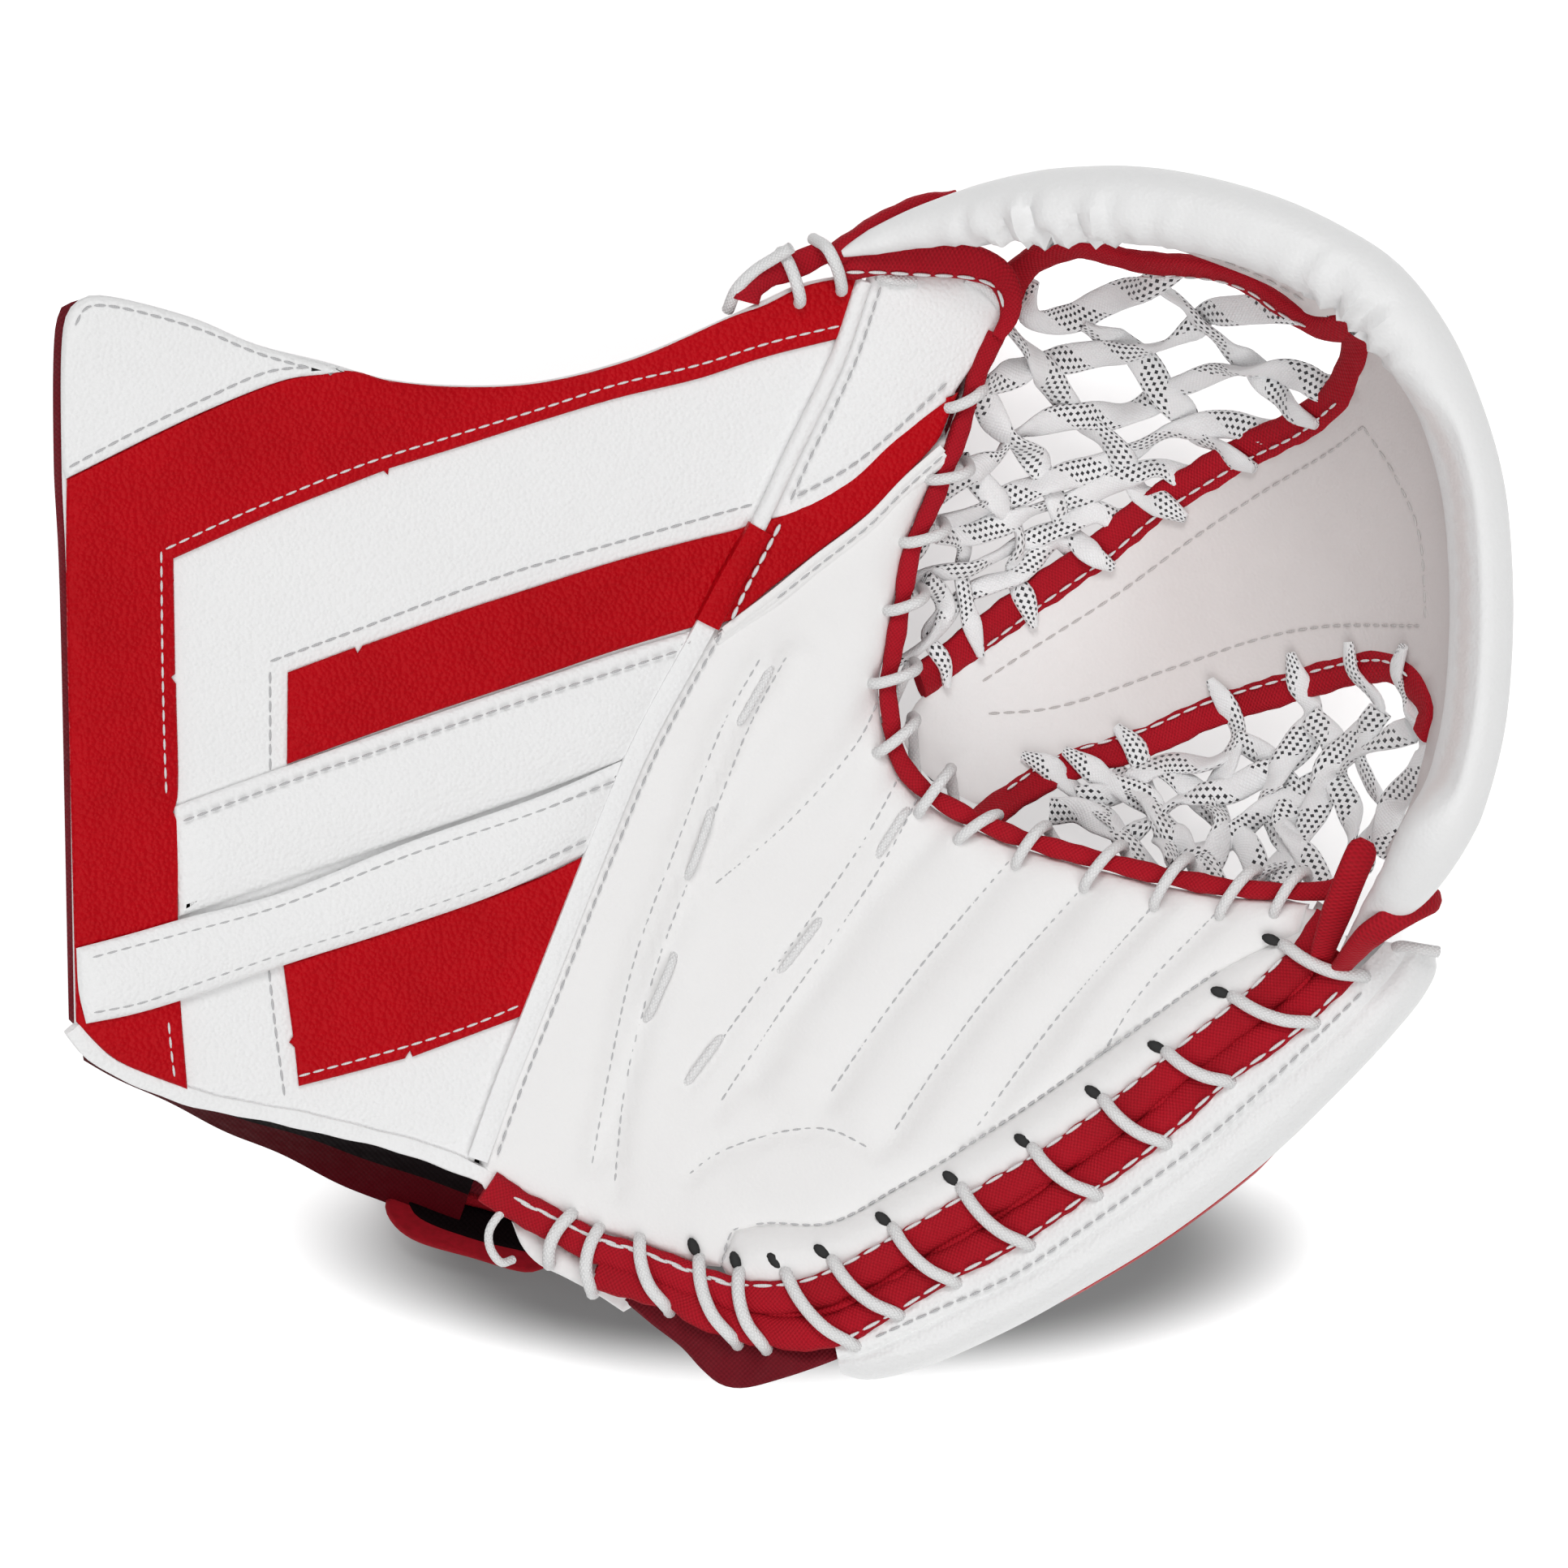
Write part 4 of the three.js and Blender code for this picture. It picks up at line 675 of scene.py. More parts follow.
sew("welt_stitches", painted_shade_thread, "cuff", [stitched_px[:3] + [[964, 632]], stitched_px[4:]],
    palm_surface, 0.0022)
sew("welt_red_stitches", white_thread, "cuff", [[[958, 642], [936, 684], [916, 722], [896, 764]]],
    palm_surface, 0.0036, pitch=0.0042, length=0.0040, thread=0.0006)


# Thumb: a white grained panel over foam, with the red stripe carried on from the cuff. The raw edges
# of its layers show as thin white lines under the stripe.
thumb_face_px = [[1070, 338], [1128, 340], [1206, 344], [1232, 360], [1238, 384], [1228, 408], [1212, 434],
                 [1174, 490], [1153, 545], [1113, 584], [1070, 629], [1003, 680], [950, 722], [934, 727],
                 [915, 706], [935, 650], [978, 559], [1034, 441]]
thumb_stripe_px = [[940, 640], [969, 633], [1048, 590], [1098, 544], [1180, 482], [1168, 512], [1156, 540],
                   [1117, 583], [1074, 628], [1007, 679], [954, 720], [896, 765], [874, 768], [905, 706]]
for thumb_px, thumb_lift, thumb_wall, thumb_skin, thumb_nodes in (
        (thumb_face_px, 0.0003, 0.0088, white_leather, ("thumb_face", "thumb_pad")),
        (thumb_stripe_px, 0.0018, 0.0014, red_leather, ("thumb_stripe",))):
    thumb_panel = make_panel(thumb_nodes[0], thumb_px, palm_surface, thumb_lift, thumb_wall, cell=0.005,
                             dome=(0.0012, 0.008))
    dress(thumb_panel, thumb_skin, "cuff", *thumb_nodes)
for layer, drop in enumerate((4, 11, 18)):
    edge_px = [[1160 + layer * 3, 546 + drop], [1113, 588 + drop], [1070, 633 + drop], [1003, 684 + drop],
               [950, 727 + drop], [890 - layer * 4, 772 + drop]]
    edge_places, edge_ups = line_on(palm_surface, edge_px, 0.003, 0.0016 - 0.0004 * layer)
    edge = wrap_along(f"thumb_layer_edge_{layer + 1}", edge_places, edge_ups, rounded(0.0024, 0.0012, 8))
    dress(edge, soft_leather, "cuff")
sew("thumb_stitches", painted_shade_thread, "cuff", [
    [[1054, 352], [1044, 414], [1000, 510], [962, 600]],
    [[1165, 470], [1100, 530], [1045, 574], [968, 616]],
    [[1160, 560], [1113, 602], [1070, 645], [1003, 698], [950, 740]],
], palm_surface, 0.0018)


# Palm: soft white leather sewn through to foam. Lines of stitches, painted grey as shade, quilt it into
# long crowned channels, and two double-sewn channels beside the break carry the palm laces.
palm_px = [[876, 776], [950, 722], [1003, 680], [1070, 629], [1113, 584], [1153, 545], [1172, 540],
           [1155, 585], [1138, 620], [1120, 668], [1104, 741], [1092, 809], [1086, 845], [1092, 912],
           [1112, 960], [1150, 995], [1236, 1036], [1360, 1072], [1440, 1091], [1519, 1104], [1583, 1108],
           [1612, 1112], [1600, 1150], [1502, 1199], [1355, 1304], [1221, 1397], [1111, 1464], [1023, 1510],
           [945, 1512], [905, 1520], [886, 1560], [851, 1556], [782, 1532], [695, 1503], [590, 1450],
           [602, 1344], [646, 1252], [734, 1048], [792, 920]]
quilt_px = [[[1244, 1061], [1114, 1217], [1017, 1356]], [[1341, 1086], [1206, 1242], [1099, 1398]],
            [[1429, 1107], [1303, 1255], [1194, 1402]], [[1500, 1124], [1408, 1221], [1353, 1309]],
            [[1092, 840], [1058, 912], [974, 1010], [875, 1094]]]
groove_px = [[[1160, 1006], [1020, 1190], [930, 1330]], [[990, 812], [900, 980], [800, 1230], [740, 1420]]]
channel_px = [[[970, 806], [925, 890], [862, 1050], [812, 1180], [772, 1330], [756, 1470]],
              [[936, 812], [892, 890], [830, 1050], [782, 1180], [748, 1330], [728, 1440]],
              [[1138, 970], [1090, 1060], [1030, 1150], [966, 1240], [880, 1370]],
              [[1112, 950], [1062, 1040], [1000, 1130], [934, 1220], [846, 1340]],
              [[846, 1450], [880, 1424], [960, 1396], [1020, 1392], [1080, 1420]]]
palm_outline = pattern(palm_px)
quilt_lines = [smooth_run(at(line), 0.006) for line in quilt_px + groove_px]
channel_lines = [smooth_run(at(line), 0.006) for line in channel_px]


def palm_crown(x, y):
    quilt = np.min([reach(x, y, line) for line in quilt_lines], axis=0)
    channel = np.min([reach(x, y, line) for line in channel_lines], axis=0)
    border = reach(x, y, palm_outline, closed=True)
    wander = 0.0003 * np.sin(x * 90 + 2 * np.sin(y * 60)) * np.sin(y * 80 + 2 * np.sin(x * 70))
    pucker = 0.00022 * np.sin((x - y) * 700) * near(np.minimum(quilt, channel), 0.004)
    drawn_in = 0.0022 * near(quilt, 0.0045) + 0.0013 * near(channel, 0.0028) + 0.0014 * near(border, 0.005)
    return 0.0016 + wander + pucker - drawn_in


def palm_top(x, y):
    return palm_surface(x, y) + palm_crown(x, y)


def fold_at_break(piece):
    """Bakes the piece's placement into its mesh."""
    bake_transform(piece)


palm = make_panel("palm_leather", palm_px, palm_surface, 0, 0.0085, cell=0.0022, roundness=0.003,
                  crown=palm_crown)
dress(palm, soft_leather, None, "palm_leather", "palm_pad_fingers", "palm_pad_thumb")
fold_at_break(palm)

palm_strip_px = [[1607, 1117], [1600, 1146], [1502, 1194], [1355, 1299], [1221, 1392], [1111, 1459],
                 [1023, 1505], [945, 1507], [904, 1515], [886, 1556], [900, 1578], [930, 1590], [993, 1590],
                 [1050, 1568], [1123, 1528], [1209, 1479], [1296, 1427], [1382, 1366], [1460, 1303],
                 [1548, 1233], [1618, 1170], [1650, 1125]]
palm_strip = make_panel("palm_edge_strip", palm_strip_px, palm_surface, 0.0004, 0.008, cell=0.003,
                        roundness=0.003, dome=(0.0034, 0.007))
dress(palm_strip, soft_leather, "hand", "palm_edge_strip")
palm_quilting = sew("palm_quilting", painted_shade_thread, None, quilt_px + channel_px, palm_top, 0.0001,
                    pitch=0.0032, length=0.0025, thread=0.0003)
fold_at_break(palm_quilting)
sew("palm_strip_stitches", painted_shade_thread, "hand", [
    [[1500, 1196], [1353, 1301], [1219, 1394], [1109, 1461], [1021, 1507], [945, 1507], [903, 1516],
     [888, 1566]],
], palm_surface, -0.0006, pitch=0.0032, length=0.0025)


# Laces in the palm: two braided cords, each drawn down through the leather and up again along the
# channels beside the break, so that only short lengths of them lie on the palm.
braid, braid_in, braid_out = new_group("lace_braid", {"Across": 0.0011, "Along": 0.0016}, ("Height", "Shade"))
side_turn, long_turn = (
    calculate(braid, "DIVIDE", calculate(braid, "MULTIPLY", place, math.pi), braid_in[spacing])
    for place, spacing in zip(across_and_along(braid, braid_in["Vector"]), ("Across", "Along")))
plait = calculate(braid, "ABSOLUTE", calculate(
    braid, "MULTIPLY", calculate(braid, "SINE", calculate(braid, "ADD", side_turn, long_turn)),
    calculate(braid, "SINE", calculate(braid, "SUBTRACT", side_turn, long_turn))))
lint = noise(braid, braid_in["Vector"], 420)
plug(braid, braid_out, {
    "Height": calculate(braid, "MULTIPLY_ADD", lint, 0.3, plait),
    "Shade": calculate(braid, "MULTIPLY_ADD", plait, 0.5, calculate(braid, "MULTIPLY", lint, 0.5),
                       clamp=True)})

round_lace, lace_tree, lace_shader = new_finish("white_braided_lace")
threads = place_group(lace_tree, braid, "UV", across=0.0012, along=0.0014)
plug(lace_tree, lace_shader, {
    "Base Color": blend_colors(lace_tree, threads["Shade"], (0.74, 0.735, 0.735), (0.93, 0.93, 0.93)),
    "Roughness": stretch(lace_tree, threads["Shade"], 0.9, 0.65),
    "Normal": bumped(lace_tree, threads["Height"], 0.7, 0.0003)})


def lace_through(name, places, radius):
    """A round braided lace along its route, without a twist."""
    ups, up = [], np.array([0.0, 0.0, 1.0])
    for direction in headings(places):
        up = up - direction * up.dot(direction)
        up /= np.linalg.norm(up)
        ups.append(up)
    return wrap_along(name, places, ups, rounded(2 * radius, 2 * radius, 10, squareness=0))


def above_palm(stops):
    """The places of stops given as pixels and a height over the palm."""
    stops = np.asarray(stops, float)
    return on_surface(palm_surface, *at(stops[:, :2]).T, stops[:, 2])[0]


def over_and_under(pairs_px, stops):
    """A lace's route from hole to hole. Each stop is a share of the way, a height and a bow to the side."""
    route = []
    for from_px, to_px in np.asarray(pairs_px, float):
        run_px = to_px - from_px
        side_px = np.array([-run_px[1], run_px[0]])
        for share, lift, bow in stops:
            route.append([*(from_px + run_px * share + side_px * bow), lift])
    return smooth_run(above_palm(route), lace_step)


lace_step = 0.0012
palm_laces_px = [[[[953, 816], [906, 898]], [[878, 994], [846, 1084]], [[833, 1173], [796, 1259]]],
                 [[[1120, 994], [1078, 1059]], [[1017, 1126], [956, 1205]], [[892, 1273], [842, 1340]]]]
palm_lace_stops = ((0, -0.0040, 0), (0.04, -0.0012, 0), (0.18, 0.0010, 0), (0.5, 0.0014, 0),
                   (0.82, 0.0010, 0), (0.96, -0.0012, 0), (1, -0.0040, 0))
for lace_name, runs_px, lace_body in zip(("palm_lace_1", "palm_lace_2"), palm_laces_px, ("cuff", "hand")):
    palm_lace = lace_through(lace_name, over_and_under(runs_px, palm_lace_stops), 0.0012)
    dress(palm_lace, round_lace, lace_body, lace_name)


# Edge bindings: the palm's edge and the back board's edge are each folded into woven red nylon with a
# white running stitch, and the two folds stand side by side, pinched together at every lace.
edge_stitches_px = [[[705, 1496], [676, 1556]], [[738, 1514], [728, 1590]], [[788, 1526], [822, 1612]],
                    [[861, 1550], [905, 1652]], [[911, 1566], [942, 1660]], [[966, 1566], [1056, 1660]],
                    [[1024, 1552], [1110, 1622]], [[1099, 1512], [1180, 1582]], [[1183, 1462], [1271, 1536]],
                    [[1271, 1414], [1354, 1473]], [[1358, 1354], [1439, 1410]], [[1436, 1296], [1517, 1334]],
                    [[1517, 1228], [1622, 1261]], [[1580, 1164], [1684, 1204]]]
palm_binding_px = [[600, 1462], [640, 1488], [695, 1516], [738, 1538], [797, 1556], [874, 1585],
                   [920, 1598], [993, 1596], [1050, 1574], [1123, 1533], [1209, 1484], [1296, 1432],
                   [1382, 1371], [1460, 1308], [1548, 1238], [1611, 1176], [1640, 1130]]
board_binding_px = [[735, 1570], [812, 1592], [892, 1628], [931, 1640], [1029, 1640], [1088, 1608],
                    [1158, 1565], [1246, 1518], [1331, 1459], [1416, 1397], [1496, 1326], [1592, 1255],
                    [1656, 1194]]


def pinched(places, pinches, size=0.0042):
    """1 where a lace pinches the line and 0 away from the laces."""
    marks = at(pinches)
    nearest = np.min(np.hypot(places[:, :1] - marks[:, 0], places[:, 1:2] - marks[:, 1]), axis=1)
    return np.exp(-(nearest / size) ** 2)


def bind_edge(name, surface, pixels, width, height, lift, draw=0, pinches=None):
    """Woven nylon folded over an edge. At the pinches, in pixels too, it narrows and is drawn aside."""
    places, ups = line_on(surface, pixels, 0.0018, lift)
    held = np.zeros(len(places)) if pinches is None else pinched(places, pinches)
    if draw:
        places, ups = line_on(surface, pixels, 0.0018, lift, draw * held)
    stations = np.arange(len(places))
    wander = 1 + 0.04 * np.sin(stations * 0.83) + 0.03 * np.sin(stations * 1.71 + 1)
    fold = rounded(width, height, 16, 0.6) * ((1 - 0.22 * held) * wander)[:, None, None]
    return wrap_along(name, places, ups, fold)


inner_holes_px, outer_holes_px = zip(*edge_stitches_px)
palm_binding = bind_edge("palm_edge_binding", palm_surface, palm_binding_px, 0.0092, 0.0056, 0.0002,
                         draw=0.0016, pinches=inner_holes_px)
dress(palm_binding, red_nylon, "hand", "palm_edge_binding")
board_binding = bind_edge("board_edge_binding", palm_surface, board_binding_px, 0.0092, 0.0054, -0.0006,
                          draw=-0.0012, pinches=outer_holes_px)
dress(board_binding, red_nylon, "hand", "board_edge_binding")

pleat_steps = 220
pleat_share = np.linspace(0, 1, pleat_steps)
pleat_from = by_share(smooth_run(at(palm_binding_px[3:]), 0.001), pleat_share)
pleat_to = by_share(smooth_run(at(board_binding_px[:-1] + [[1640, 1200]]), 0.001), pleat_share)
pleat_middle = (pleat_from + pleat_to) / 2
pleat_across = np.linalg.norm(pleat_to - pleat_from, axis=1)
held = pinched(pleat_middle, np.mean(edge_stitches_px, axis=1), 0.006)[:, None]
across_share = np.linspace(-0.5, 0.5, 25)
wave = np.cos(across_share * 5 * np.pi + 0.8 * np.sin(np.arange(pleat_steps) * 0.06)[:, None])
crest = 0.0010 + (0.0013 - 0.0008 * held) * wave - 0.0012 * held
top_side = np.stack([across_share * pleat_across[:, None], crest], -1)
low_side = top_side[:, ::-1] - np.array([0.0, 0.0014])
pleat_places = np.column_stack([pleat_middle, palm_surface(*pleat_middle.T) - 0.0006])
gusset = wrap_along("edge_gusset", pleat_places, np.tile([0.0, 0.0, 1.0], (pleat_steps, 1)),
                    np.concatenate([top_side, low_side], axis=1))
dress(gusset, red_nylon, "hand")
sew("edge_binding_stitches", white_thread, "hand", [
    [[a - 9, b - 13] for a, b in palm_binding_px[1:-1]], [[a + 10, b + 15] for a, b in board_binding_px[4:]],
], palm_surface, 0.0029, pitch=0.0064, length=0.0056, thread=0.0005)
sew("wrist_binding_stitches", white_thread, "hand", [
    [[640, 1482], [695, 1508], [738, 1530], [797, 1548], [874, 1578], [920, 1590]],
], palm_surface, 0.0031, pitch=0.0064, length=0.0056, thread=0.0005)


# Edge lace: one white braided cord that holds the two bindings together, out of a hole in the palm,
# over both folds, into the back board and back underneath to the next hole. The pull draws the
# palm's holes long, and the shade in them is painted as a black oval over each.
edge_lace_stops = ((0, -0.0070, 0), (0, -0.0010, 0), (0.07, 0.0030, 0.01), (0.28, 0.0052, 0.07),
                   (0.5, 0.0054, 0.10), (0.72, 0.0048, 0.09), (0.94, 0.0020, 0.02), (1, -0.0020, 0),
                   (1, -0.0070, 0))
edge_lace = lace_through("edge_lace", over_and_under(edge_stitches_px, edge_lace_stops), 0.0018)
dress(edge_lace, round_lace, "hand", "edge_lace")

# Painted shade: a near-black oval over each hole stands for the shade inside it.
painted_hole_shade, hole_shade_tree, hole_shade_shader = new_finish("painted_hole_shade")
hole_shade_grain = place_group(hole_shade_tree, grain, "Object", scale=1500)
plug(hole_shade_tree, hole_shade_shader, {
    "Base Color": blend_colors(hole_shade_tree, hole_shade_grain["Tone"], (0.004, 0.004, 0.004), (0.02, 0.02, 0.02)),
    "Roughness": 0.7,
    "Normal": bumped(hole_shade_tree, hole_shade_grain["Height"], 0.3, 0.0001)})
holes = []
for from_px, to_px in np.array(edge_stitches_px[3:], float):
    run_px = to_px - from_px
    bpy.ops.mesh.primitive_uv_sphere_add(segments=12, ring_count=6, radius=1)
    hole = bpy.context.object
    hole.scale = (0.0028, 0.0015, 0.0007)
    hole.rotation_euler = (0, 0, math.atan2(-run_px[1], run_px[0]))
    hole.location = above_palm([[*(from_px - run_px * 0.11), 0.0024]])[0]
    bpy.ops.object.transform_apply(location=True, rotation=True, scale=True)
    holes.append(hole)
edge_holes = join_as("edge_lace_holes", holes)
bpy.ops.object.shade_smooth()
dress(edge_holes, painted_hole_shade, "hand")


# Pocket: a deep bowl that hangs from the palm's edge to the padded rim. Its web is a T of soft leather,
# with a laced net on each side of the stem, and every piece of it follows the same bowl.
roll_px = [[1096, 292], [1164, 266], [1240, 249], [1333, 244], [1432, 252], [1550, 284], [1630, 322],
           [1690, 362], [1742, 430], [1778, 510], [1804, 600], [1816, 700], [1812, 800], [1796, 900],
           [1762, 1000], [1726, 1070]]
roll_heights = [0.0794, 0.0896, 0.0998, 0.1088, 0.1152, 0.1216, 0.1254, 0.128, 0.128, 0.128, 0.128, 0.128,
                0.1254, 0.1203, 0.1101, 0.0973]
pocket_edge_px = [[1222, 420], [1205, 455], [1188, 494], [1174, 534], [1160, 576], [1152, 613], [1137, 646],
                  [1124, 677], [1112, 741], [1100, 809], [1094, 845], [1100, 909], [1122, 956], [1156, 985],
                  [1240, 1026], [1365, 1062], [1440, 1080], [1519, 1094], [1583, 1098], [1640, 1096]]
pocket_depth = 0.086
pocket_slope = 0.6
rim_samples = smooth_run(np.column_stack([at(roll_px), roll_heights]), 0.002)
edge_flat = at(pocket_edge_px)
edge_samples = smooth_run(np.column_stack([edge_flat, palm_surface(*edge_flat.T)]), 0.002)
bowl_outline = np.vstack([rim_samples, edge_samples[::-1]])[:, :2]


def within(x, y, outline):
    inside = np.zeros(x.shape, bool)
    for (ax, ay), (bx, by) in zip(outline, np.roll(outline, -1, axis=0)):
        if ay != by:
            inside ^= ((ay > y) != (by > y)) & (x < ax + (bx - ax) * (y - ay) / (by - ay))
    return inside


def nearness(samples, x, y):
    """A soft distance to a line of samples, and the height that the nearest of them have."""
    distance = np.hypot(x[:, None] - samples[:, 0], y[:, None] - samples[:, 1]).clip(0.0003)
    closeness = (distance / 0.01) ** -10
    weights = distance ** -4
    return 0.01 * closeness.mean(1) ** -0.1, (weights * samples[:, 2]).sum(1) / weights.sum(1)


def pocket_surface(x, y):
    shape = np.shape(x)
    x, y = np.ravel(x), np.ravel(y)
    edge_distance, edge_height = nearness(edge_samples, x, y)
    rim_distance, rim_height = nearness(rim_samples, x, y)
    past_rim = (rim_distance < edge_distance) & ~within(x, y, bowl_outline)
    rim_distance = np.where(past_rim, -rim_distance, rim_distance)
    width = (edge_distance + rim_distance).clip(0.004)
    share = (edge_distance / width).clip(0, 1.15)
    sag = pocket_depth * (1 - np.exp(-width * pocket_slope / pocket_depth))
    straight = (edge_height - 0.004) * (1 - share) + (rim_height - 0.005) * share
    return (straight - 4 * sag * share * (1 - share)).reshape(shape)


web_px = [[1130, 872], [1150, 850], [1206, 800], [1276, 748], [1368, 684], [1422, 638], [1540, 567],
          [1600, 540], [1648, 504], [1672, 450], [1676, 405], [1664, 394], [1611, 387], [1565, 357],
          [1498, 328], [1432, 308], [1366, 300], [1330, 302], [1240, 296], [1240, 250], [1333, 244],
          [1432, 252], [1550, 284], [1630, 322], [1690, 362], [1742, 430], [1778, 510], [1804, 600],
          [1816, 700], [1812, 800], [1796, 900], [1762, 1000], [1718, 1062], [1702, 1050], [1734, 990],
          [1756, 905], [1762, 874], [1752, 844], [1717, 818], [1683, 816], [1587, 840], [1492, 869],
          [1412, 906], [1307, 940], [1228, 990], [1180, 974], [1138, 944], [1118, 905]]


def web_crown(x, y):
    fold = np.sin(x * 260 + 2 * np.sin(y * 190)) * np.sin(y * 240 + 1.4 * np.sin(x * 150))
    gathered = sum(near(np.hypot(x - spot[0], y - spot[1]), width)
                   for spot, width in ((at([1290, 300]), 0.020), (at([1668, 372]), 0.016)))
    return 0.0002 * fold + 0.0016 * fold * gathered


# Painted shade: the pocket's leather is white leather painted darker and pinker, as shade and reflected red,
# and lighter toward the palm.
pocket_painted_shade = (0.80, 0.755, 0.745)
pocket_leather_painted_shade = leather_finish("pocket_leather_painted_shade", pocket_painted_shade, (0.71, 0.665, 0.655),
                                0.5, 1000, 0.00016, 0.3)
pocket_tree = pocket_leather_painted_shade.node_tree
pocket_color = pocket_tree.nodes["Principled BSDF"].inputs["Base Color"]
pocket_side, _ = across_and_along(pocket_tree, add_node(pocket_tree, "TexCoord", {})["Object"])
painted_shade_share = calculate(pocket_tree, "MULTIPLY_ADD", pocket_side, 18, -0.95, clamp=True)
pocket_tree.links.new(blend_colors(pocket_tree, painted_shade_share, (0.885, 0.875, 0.87),
                                   pocket_color.links[0].from_socket), pocket_color)
web = make_panel("pocket_web", web_px, pocket_surface, 0, 0.0032, cell=0.004, rims=(0.0005,),
                 roundness=0.0014, crown=web_crown, corner=60)
dress(web, pocket_leather_painted_shade, None, "pocket_web")
fold_at_break(web)
# Painted shade: the web's white thread is painted pinkish grey, as the pocket's shade.
web_shade_thread = thread_finish("web_shade_thread", (0.66, 0.63, 0.62), 0.8)
web_stitches = sew("web_stitches", web_shade_thread, None, [
    [[1681, 525], [1723, 592], [1749, 658], [1758, 771]],
    [[1750, 771], [1640, 771], [1560, 785], [1450, 822], [1300, 872], [1208, 880]],
    [[1681, 525], [1640, 556], [1560, 604], [1470, 664], [1380, 730], [1270, 800], [1200, 846]],
    [[1366, 290], [1432, 298], [1498, 318], [1565, 346], [1620, 378]],
], pocket_surface, 0.0003, pitch=0.0042)
fold_at_break(web_stitches)


# Perimeter roll: foam rod wrapped in white leather that stands round the pocket. The wrap gathers into
# folds where it turns in at the thumb and at the far corner, and it narrows to its end at the fingers.
# Along the far side its flank is pressed flat from low on the rod up to a creased seam.
roll_line_px = [[1038, 312], [1080, 297], [1128, 282], [1200, 266], [1262, 256], [1333, 252], [1432, 257],
                [1550, 286], [1630, 322], [1690, 362], [1742, 430], [1778, 510], [1804, 600], [1814, 700],
                [1814, 800], [1804, 900], [1776, 1000], [1740, 1074], [1700, 1124], [1658, 1172]]
roll_line_heights = [0.0858, 0.0868, 0.0886, 0.0940, 0.1010, 0.1088, 0.1152, 0.1216, 0.1254, 0.128, 0.128,
                     0.128, 0.128, 0.128, 0.128, 0.1254, 0.1195, 0.1080, 0.0915, 0.0770]
roll_places = smooth_run(np.column_stack([at(roll_line_px), roll_line_heights]), 0.0022)
roll_travel = np.linspace(0, travel(roll_places)[-1], len(roll_places))
roll_end = roll_travel[-1]
full_girth = 0.0105
girth = np.interp(roll_travel, [0, 0.009, 0.022, 0.040, 0.062, 0.08, roll_end - 0.065, roll_end - 0.036,
                                roll_end - 0.018, roll_end],
                  [0.0012, 0.0036, 0.0056, 0.0080, 0.0098, full_girth, full_girth, 0.0076, 0.0050, 0.0014])
roll_sides = 40
turn = (np.arange(roll_sides) + 0.5) * 2 * np.pi / roll_sides
around = np.degrees((turn + np.pi / 2) % (2 * np.pi) - np.pi / 2)
up_the_rim = roll_places[:, 1]
at_far_side = (np.clip((at([0, 380])[1] - up_the_rim) / 0.035, 0, 1)
               * np.clip((up_the_rim - at([0, 1050])[1]) / 0.020, 0, 1))[:, None]
flank_low = -48
crease = 40 + 62 * at_far_side * at_far_side * (3 - 2 * at_far_side)


def on_rod(degrees):
    return np.stack([np.cos(np.radians(degrees)), np.sin(np.radians(degrees))], -1)


flank_share = np.clip((around - flank_low) / (crease - flank_low), 0, 1)[..., None]
chord = (1 - flank_share) * on_rod(flank_low) + flank_share * on_rod(crease)
pressed = np.where((around > flank_low) & (around < crease), 0.9 * at_far_side, 0)[..., None]
seam = near(around - crease, 6) * at_far_side
gather = (np.sin(roll_travel[:, None] * 560 + 1.2 * np.sin(turn * 2) + 1.6 * turn)
          + 0.6 * np.sin(roll_travel[:, None] * 860 - 2.2 * turn + 1))
gathered = near(roll_travel - 0.060, 0.024) + 0.7 * near(roll_travel - 0.158, 0.018) + 0.06
folds = gather * gathered[:, None] * np.clip(np.cos(turn - 0.5), 0, 1)
roll_radius = girth[:, None] * (1 - 0.07 * seam) * (1 + 0.0023 * folds / full_girth)
roll_section = (on_rod(around) * (1 - pressed) + chord * pressed) * roll_radius[..., None]
roll = wrap_along("perimeter_roll", roll_places, np.tile([0.0, 0.0, 1.0], (len(roll_places), 1)),
                  roll_section)

roll_leather = leather_finish("roll_leather", (0.89, 0.89, 0.89), (0.83, 0.83, 0.83),
                              0.42, 850, 0.00022)
roll_tree = roll_leather.node_tree
roll_color = roll_tree.nodes["Principled BSDF"].inputs["Base Color"]
# Painted shade: the pressed flank takes the pocket's painted shade colour.
painted_flank_shade = add_node(roll_tree, "Attribute", {}, attribute_name="painted_flank_shade")["Fac"]
outer_color = roll_color.links[0].from_socket
roll_tree.links.new(blend_colors(roll_tree, painted_flank_shade, outer_color, pocket_painted_shade), roll_color)
dress(roll, roll_leather, None, "perimeter_roll")
from_flank = np.abs(around - (crease / 2 - 25)) - crease / 2 + 27
flank_shade_share = at_far_side / (1 + np.exp(from_flank / 5))
roll_painted_shade = roll.data.attributes.new("painted_flank_shade", "FLOAT", "POINT")
roll_painted_shade.data.foreach_set("value", np.resize(np.append(flank_shade_share.ravel(), 0), len(roll.data.vertices)))
fold_at_break(roll)


